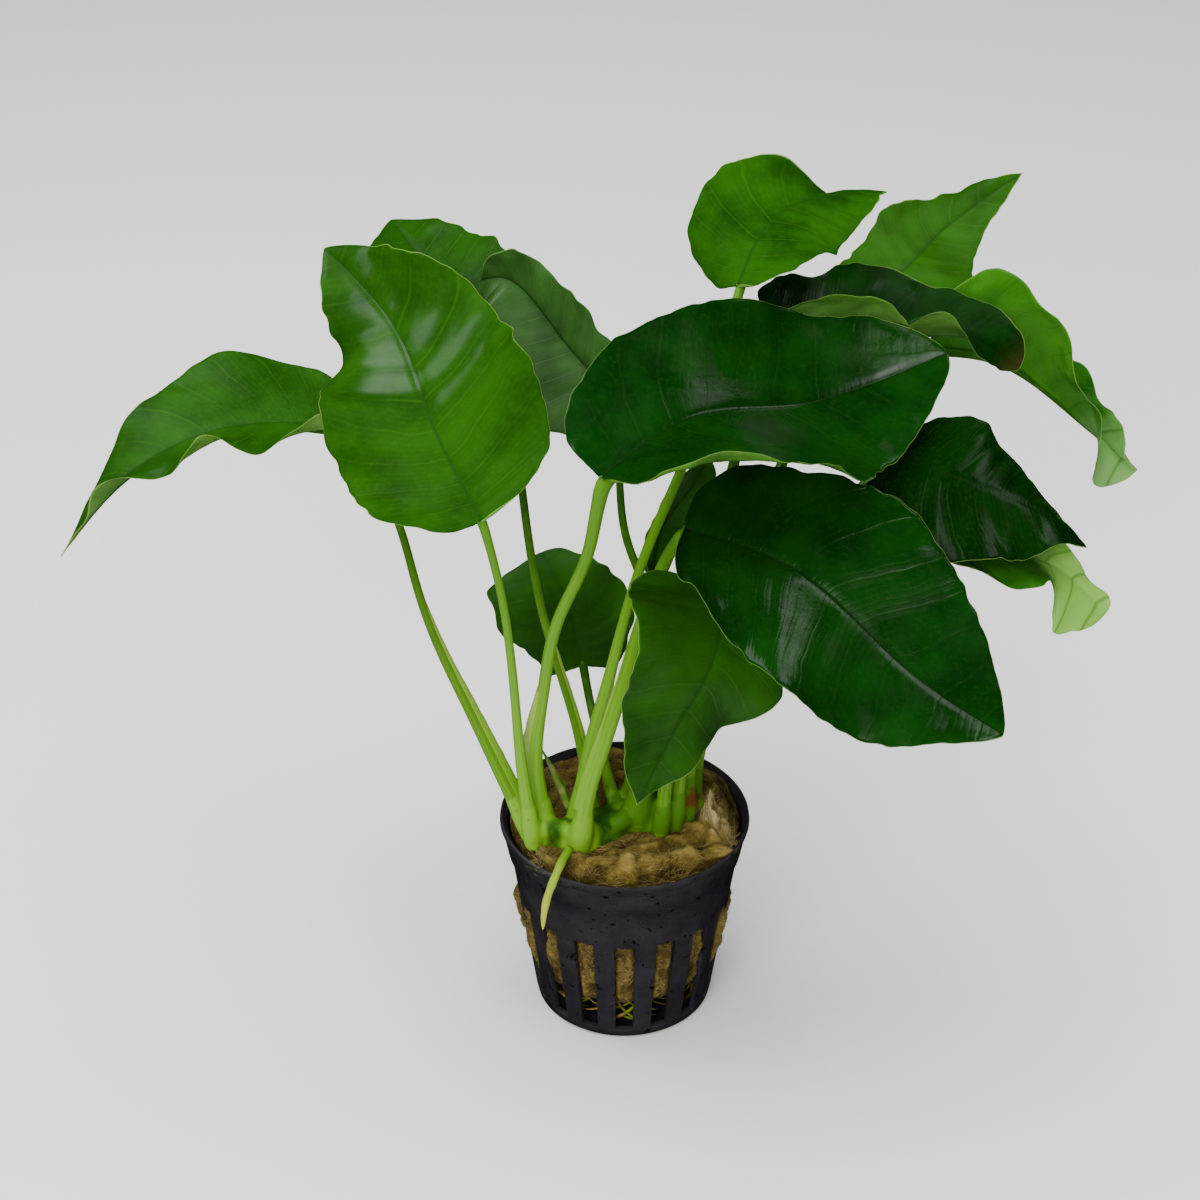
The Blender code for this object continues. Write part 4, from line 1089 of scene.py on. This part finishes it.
tuftMake = dict(
    count=900, length=(0.9, 2.6),
    # x, y, spread
    places=[(17.4, -3.2, 1.3), (18.8, -4.8, 1.3), (20.0, -7.0, 1.3), (20.9, -9.8, 1.3), (21.4, -12.4, 1.3),
            (21.4, -14.8, 1.5), (-16.8, -17.8, 2.0), (-7.7, -22.4, 1.6), (9.0, -20.2, 3.0)])
bitsMake = dict(
    count=120, radius=(0.2, 0.55), turn=0.75, start=(12.0, 16.5), end=(13.5, 17.3), top=10.0, low=1.6,
    fall=(2.5, 8.0), sway=(0.2, 0.9),
    deep=(0.10, 0.050, 0.008), light=(0.30, 0.24, 0.035), green=(0.17, 0.24, 0.015))


def nearAngle(angle, target, width):
    away = (angle - math.radians(target) + math.pi) % fullTurn - math.pi
    return np.exp(-(away / math.radians(width)) ** 2)


def fromFold(x, y, points):
    # distance from a fold's line, seen from above
    nearest = np.full(np.shape(x), 1e9)
    for (ax, ay), (bx, by) in zip(points, points[1:]):
        length = (bx - ax) ** 2 + (by - ay) ** 2
        t = np.clip(((x - ax) * (bx - ax) + (y - ay) * (by - ay)) / length, 0, 1)
        nearest = np.minimum(nearest, np.hypot(x - ax - t * (bx - ax), y - ay - t * (by - ay)))
    return nearest


def woolHeight(x, y):
    middle, edge = woolMake["level"]
    height = edge + (middle - edge) * softStep(23.4, 19.5, np.hypot(x, y))
    raised = np.zeros(np.shape(x))
    for points, rise, width in woolMake["folds"]:
        raised = np.maximum(raised, rise * np.exp(-(fromFold(x, y, points) / width) ** 2))
    # the torn crest is jagged along its line
    jag = 1 + 0.55 * noisy(np.stack([x, y, 0 * x], axis=-1), 1.7, 41.0)
    torn = np.exp(-(fromFold(x, y, woolMake["tear"]) / woolMake["tearHalf"]) ** 4)
    height = height + np.maximum(raised, woolMake["tearRise"] * jag * torn)
    for cx, cy, rise, spread in woolMake["lumps"]:
        height = height + rise * np.exp(-(np.hypot(x - cx, y - cy) / spread) ** 1.6)
    return height


def woolSurface(x, y):
    # x around the plug, y from the middle of its underside to the middle of its top;
    # gives the points and a value for the felt's painted shade and highlight:
    # low where it is sunk or behind the pot's wall, high where it stands out
    angle = fullTurn * x
    bottom, flatTop = woolMake["bottom"], woolMake["flatTop"]
    inner = potMake["wall"] + 0.1
    collar, rim = potMake["collarRadius"] - inner, potMake["rimRadius"] - inner
    profile = np.array([
        (0, bottom), (14, bottom), (wallRadius(11) - inner, 10.5), (wallRadius(28) - inner, 28),
        (collar, 38), (rim - 0.9, 44.6), (rim - 1.8, flatTop), (0, flatTop)])
    share = walked(profile) / walked(profile)[-1]
    radius = np.interp(y, share, profile[:, 0])
    height = np.interp(y, share, profile[:, 1])
    px, py = radius * np.cos(angle), radius * np.sin(angle)
    base = np.stack([px, py, height], axis=1)
    # warped a little, so that no fold is even
    warpX, warpY = 1.3 * noisy(base, 5.0, 3.0), 1.3 * noisy(base, 4.2, 13.0)
    onTop = softStep(share[-3], share[-2] + 0.01, y)
    height = height + onTop * (woolHeight(px + warpX, py + warpY) - flatTop)
    # layers of the felt, curled round in the pot, and its lumps and frays
    drift = noisy(base, 11.0, 2.0) * 1.2 + noisy(base, 4.0, 4.0) * 0.5
    layer = np.abs(((radius / woolMake["layer"] + drift + angle / fullTurn) % 1) * 2 - 1)
    rough = noisy(base, 2.4, 5.0) * 0.42 + noisy(base, 1.1, 8.0) * 0.2 + noisy(base, 0.55, 9.0) * 0.09
    relief = woolMake["layerRise"] * (layer ** 0.6 - 0.6) + rough
    height = height + onTop * relief
    # cushions that push out through the slots
    ragged = height + 1.8 * noisy(base, 3.0, 21.0)
    inSlot = softStep(*woolMake["slotHalf"], fromSlotMiddle(angle)) * softStep(*woolMake["slotLow"], ragged)
    inSlot = inSlot * softStep(*woolMake["slotHigh"], height)
    least, uneven = woolMake["push"]
    depth = least + uneven * noisy(base, 5.0, 11.0)
    for target, push in woolMake["bulges"]:
        depth = depth + push * nearAngle(angle, target, 8) * softStep(12, 19, height)
    pleats = noisy(base * (1, 1, 0.22), 1.5, 17.0)
    radius = radius + (inSlot * (depth + rough + 0.45 * pleats)) * (1 - onTop)
    # where it hangs over the rim
    shoulder = np.exp(-((y - share[-2]) / woolMake["shoulder"]) ** 2)
    for target, width, hang in woolMake["spills"]:
        spill = nearAngle(angle, target, width) * shoulder
        radius = radius + spill * (hang + 0.5 * rough)
        height = height + spill * 0.55
    # painted light: the value is low, for painted shade, in sunk felt, in pleats and behind the wall between
    # the slots, and high, for painted highlight, on raised felt and along the torn crest
    raised = (height - 47.6) * 0.2 * onTop
    torn = np.exp(-(fromFold(px + 0.8, py + 1.0, woolMake["tear"]) / (1.5 * woolMake["tearHalf"])) ** 4)
    inPleat = 0.02 + (rough * 0.6 + 0.3 * pleats) * inSlot + 0.25 * (inSlot - 1)
    lightAndShade = np.where(onTop > 0.5, relief * 0.55 + raised + 0.75 * torn, inPleat)
    return np.stack([radius * np.cos(angle), radius * np.sin(angle), height], axis=1), lightAndShade


def woolMaterial(name, deep, light, scale, shadeAndHighlight=()):
    made, n, shader = newMaterial(name, 0.7, {"Specular IOR Level": 0.35})
    coords = n.objectCoords()
    stretch = n.add("ShaderNodeMapping")
    stretch.inputs["Scale"].default_value = (1.0, 3.0, 2.0)
    n.join(coords, stretch.inputs["Vector"])
    threads = n.noise(scale, 5.0, 0.7, stretch.outputs[0], 1.2)
    color = n.mix(n.mapRange(threads, 0.35, 0.68), deep, light)
    color = n.mix(n.mapRange(n.noise(110.0, 4.0, 0.6, coords), 0.38, 0.66, 0.0, 0.7), color, deep)
    color = n.mix(n.mapRange(n.noise(160.0, 2.0, 0.5, coords, 0.5), 0.56, 0.7, 0.0, 0.5), color, light)
    # painted shade on sunk felt and painted highlight on raised felt, from the value painted on the plug
    for low, high, lowShow, highShow, paintedTone in shadeAndHighlight:
        color = n.mix(n.mapRange(n.attribute("lightAndShade"), low, high, lowShow, highShow), color, paintedTone)
    dress(n, shader, color, threads, 0.9, 0.0008)
    return made


def makeWool():
    piece, x, y = sheetOf("wool_plug", woolMake["around"], woolMake["along"])
    points, lightAndShade = woolSurface(x, y)
    place(piece, points)
    paint(piece, "lightAndShade", lightAndShade)
    closeUp(piece)
    felt = woolMaterial("wet rock wool", woolMake["deep"], woolMake["light"], 700.0, woolMake["crestShadeAndHighlight"])
    finishPiece(piece, felt, ["rock_wool"])


def makeStrands(name, routes, radii):
    # many thin closed strands from one grid: three faces around each, then a gap
    count, rings = routes.shape[:2]
    piece, x, y = sheetOf(name, 4 * count - 1, rings - 1)
    column = np.rint(x * (4 * count - 1)).astype(int)
    ring = np.rint(y * (rings - 1)).astype(int)
    strand, corner = column // 4, column % 4
    along = unit(np.gradient(routes, axis=1))
    across = unit(np.cross(along, [0.31, 0.22, 0.93]))
    over = np.cross(along, across)
    taper = np.sin(math.pi * np.linspace(0, 1, rings)) ** 0.4
    radius = (radii[:, None] * taper[None])[strand, ring][:, None]
    turn = fullTurn * corner / 3
    arm = across[strand, ring] * np.cos(turn)[:, None] + over[strand, ring] * np.sin(turn)[:, None]
    place(piece, routes[strand, ring] + arm * radius)
    corners = np.empty(len(piece.data.polygons) * 4, int)
    piece.data.polygons.foreach_get("vertices", corners)
    owner = strand[corners.reshape(-1, 4)]
    activate(piece)
    bpy.ops.object.mode_set(mode="EDIT")
    bpy.ops.mesh.select_mode(type="FACE")
    bpy.ops.object.mode_set(mode="OBJECT")
    piece.data.polygons.foreach_set("select", owner.min(1) != owner.max(1))
    bpy.ops.object.mode_set(mode="EDIT")
    bpy.ops.mesh.delete(type="FACE")
    bpy.ops.object.mode_set(mode="OBJECT")
    closeUp(piece)
    return piece


def tuftRoutes(rng, share):
    # fibres that stand up on the tuft and the clumps
    routes = []
    count = tuftMake["count"] // len(tuftMake["places"])
    for px, py, spread in tuftMake["places"]:
        foot = rng.normal(0, spread * 0.45, (count, 2)) + (px, py)
        lean = (foot - (px, py)) * 0.6 + rng.normal(0, 0.45, (count, 2))
        away = unit(np.concatenate([lean, np.ones((count, 1))], axis=1))
        low = woolHeight(foot[:, 0], foot[:, 1]) - 0.8
        start = np.concatenate([foot, low[:, None]], axis=1)
        length = rng.uniform(*tuftMake["length"], count)
        bow = rng.normal(0, 0.5, (count, 1, 3)) * (share ** 2)[..., None]
        routes.append(start[:, None] + away[:, None] * (length[:, None] * share)[..., None] + bow)
    return np.concatenate(routes)


def makeFibres():
    # loose fibres lie along the felt and some stand off it
    rng = np.random.default_rng(7)
    count, rings = fibreMake["count"], fibreMake["segments"] + 1
    top = rng.random(count) < fibreMake["onTop"]
    y = np.where(top, rng.uniform(*fibreMake["topSpan"], count), rng.uniform(*fibreMake["slotSpan"], count))
    slot = rng.integers(0, potMake["slots"], count)
    inSlot = (slot / potMake["slots"] + rng.normal(0, 0.011, count) - 0.25) % 1
    x = np.where(top, rng.random(count), inSlot)
    length = rng.uniform(*fibreMake["length"], count)
    lean = rng.uniform(-fibreMake["lean"], fibreMake["lean"], count)
    around, upwards = fibreMake["felt"]
    share = np.linspace(0, 1, rings)[None]
    bow = rng.uniform(-1, 1, count)[:, None] * (share - share ** 2) * 0.5
    stepX = (length * np.cos(lean) / around)[:, None] * share * np.where(top, 1.0, 0.35)[:, None]
    stepY = (length * np.sin(lean) / upwards)[:, None] * (share + bow)
    felt = woolSurface((x[:, None] + stepX).ravel() % 1, np.clip(y[:, None] + stepY, 0.22, 0.995).ravel())[0]
    angle = fullTurn * x
    outward = np.where(top[:, None], [0, 0, 1.0], np.stack([np.cos(angle), np.sin(angle), 0 * angle], 1))
    low, high = fibreMake["stand"]
    stand = low + (high - low) * rng.random(count) ** 5
    lift = outward[:, None] * (0.04 + stand[:, None] * share ** 1.5)[..., None]
    routes = np.concatenate([felt.reshape(count, rings, 3) + lift, tuftRoutes(rng, share)])
    radii = fibreMake["radius"] * rng.uniform(0.6, 1.2, len(routes))
    piece = makeStrands("wool_fibres", routes, radii)
    threads = woolMaterial("wool fibres", fibreMake["deep"], fibreMake["light"], 300.0)
    finishPiece(piece, threads)


def makeBits():
    # fine roots that come out of the felt's underside and lie round the bottom, behind the slots
    rng = np.random.default_rng(11)
    share = np.linspace(0, 1, 11)[None]

    def drawn(low, high):
        return rng.uniform(low, high, bitsMake["count"])[:, None]

    angle = drawn(0, fullTurn)
    turn = angle + drawn(-bitsMake["turn"], bitsMake["turn"]) * share ** 1.3
    start = drawn(*bitsMake["start"])
    end = drawn(*bitsMake["end"])
    fall = drawn(*bitsMake["fall"]) * (1 - np.exp(-drawn(2, 6) * share))
    sway = drawn(*bitsMake["sway"]) * np.sin(drawn(3, 9) * share)
    far = start + (end - start) * share
    height = np.maximum(bitsMake["top"] - fall + sway, bitsMake["low"])
    routes = np.stack([far * np.cos(turn), far * np.sin(turn), height], axis=2)
    piece = makeStrands("fine_roots", routes, rng.uniform(*bitsMake["radius"], bitsMake["count"]))
    made, n, shader = newMaterial("fine roots", 0.6)
    color = n.mix(n.mapRange(n.noise(400.0, 3.0), 0.35, 0.65), bitsMake["deep"], bitsMake["light"])
    dress(n, shader, n.mix(n.mapRange(n.noise(150.0, 2.0), 0.52, 0.62), color, bitsMake["green"]))
    finishPiece(piece, made)


makeWool()
makeFibres()
makeBits()
print("rock wool made")


# Camera, floor and soft studio light
cameraMake = dict(location=(-5.22, -478.4, 401.5), pitch=32.25, lens=84, sensor=36)
lights = {
    # place, aimed at, width, height, power, seen in gloss
    "sky": ((0, 80, 900), (0, 0, 100), 900, 900, 11.0, False),
    "front": ((-200, -720, 560), (0, 0, 100), 600, 500, 8.0, False),
    "left sheen": ((-485, 150, 675), (-45, 30, 145), 440, 440, 2.2, True),
    "front sheen": ((339, -399, 615), (60, 30, 138), 220, 220, 0.6, True),
    "right sheen": ((443, 368, 583), (75, 0, 115), 260, 260, 0.5, True),
}


def aim(thing, target):
    direction = Vector(target) - Vector(thing.location) / mm
    thing.rotation_euler = direction.to_track_quat("-Z", "Y").to_euler()


def setCamera():
    camera = bpy.data.objects.new("camera", bpy.data.cameras.new("camera"))
    bpy.context.scene.collection.objects.link(camera)
    camera.location = Vector(cameraMake["location"]) * mm
    camera.rotation_euler = (math.radians(90 - cameraMake["pitch"]), 0, 0)
    camera.data.lens = cameraMake["lens"]
    camera.data.sensor_width = cameraMake["sensor"]
    bpy.context.scene.camera = camera


def setLights():
    for name, (spot, target, width, height, power, inGloss) in lights.items():
        lamp = bpy.data.objects.new(name, bpy.data.lights.new(name, "AREA"))
        bpy.context.scene.collection.objects.link(lamp)
        lamp.location = Vector(spot) * mm
        aim(lamp, target)
        lamp.data.shape = "RECTANGLE"
        lamp.data.size = width * mm
        lamp.data.size_y = height * mm
        lamp.data.energy = power
        lamp.visible_glossy = inGloss
    world = bpy.data.worlds.new("studio")
    world.use_nodes = True
    background = world.node_tree.nodes["Background"]
    background.inputs["Color"].default_value = (1, 1, 1, 1)
    background.inputs["Strength"].default_value = 0.15
    bpy.context.scene.world = world
    world.cycles_visibility.glossy = False


def layFloor():
    bpy.ops.object.select_all(action="DESELECT")
    bpy.ops.mesh.primitive_plane_add(size=6, location=(0, 0, 0))
    floor = bpy.context.object
    floor.name = "floor"
    made, n, shader = newMaterial("pale floor", 0.9, {
        "Base Color": (0.95, 0.95, 0.95, 1), "Specular IOR Level": 0.1})
    floor.data.materials.append(made)
    floor.visible_glossy = False


setCamera()
setLights()
layFloor()
print("studio set")
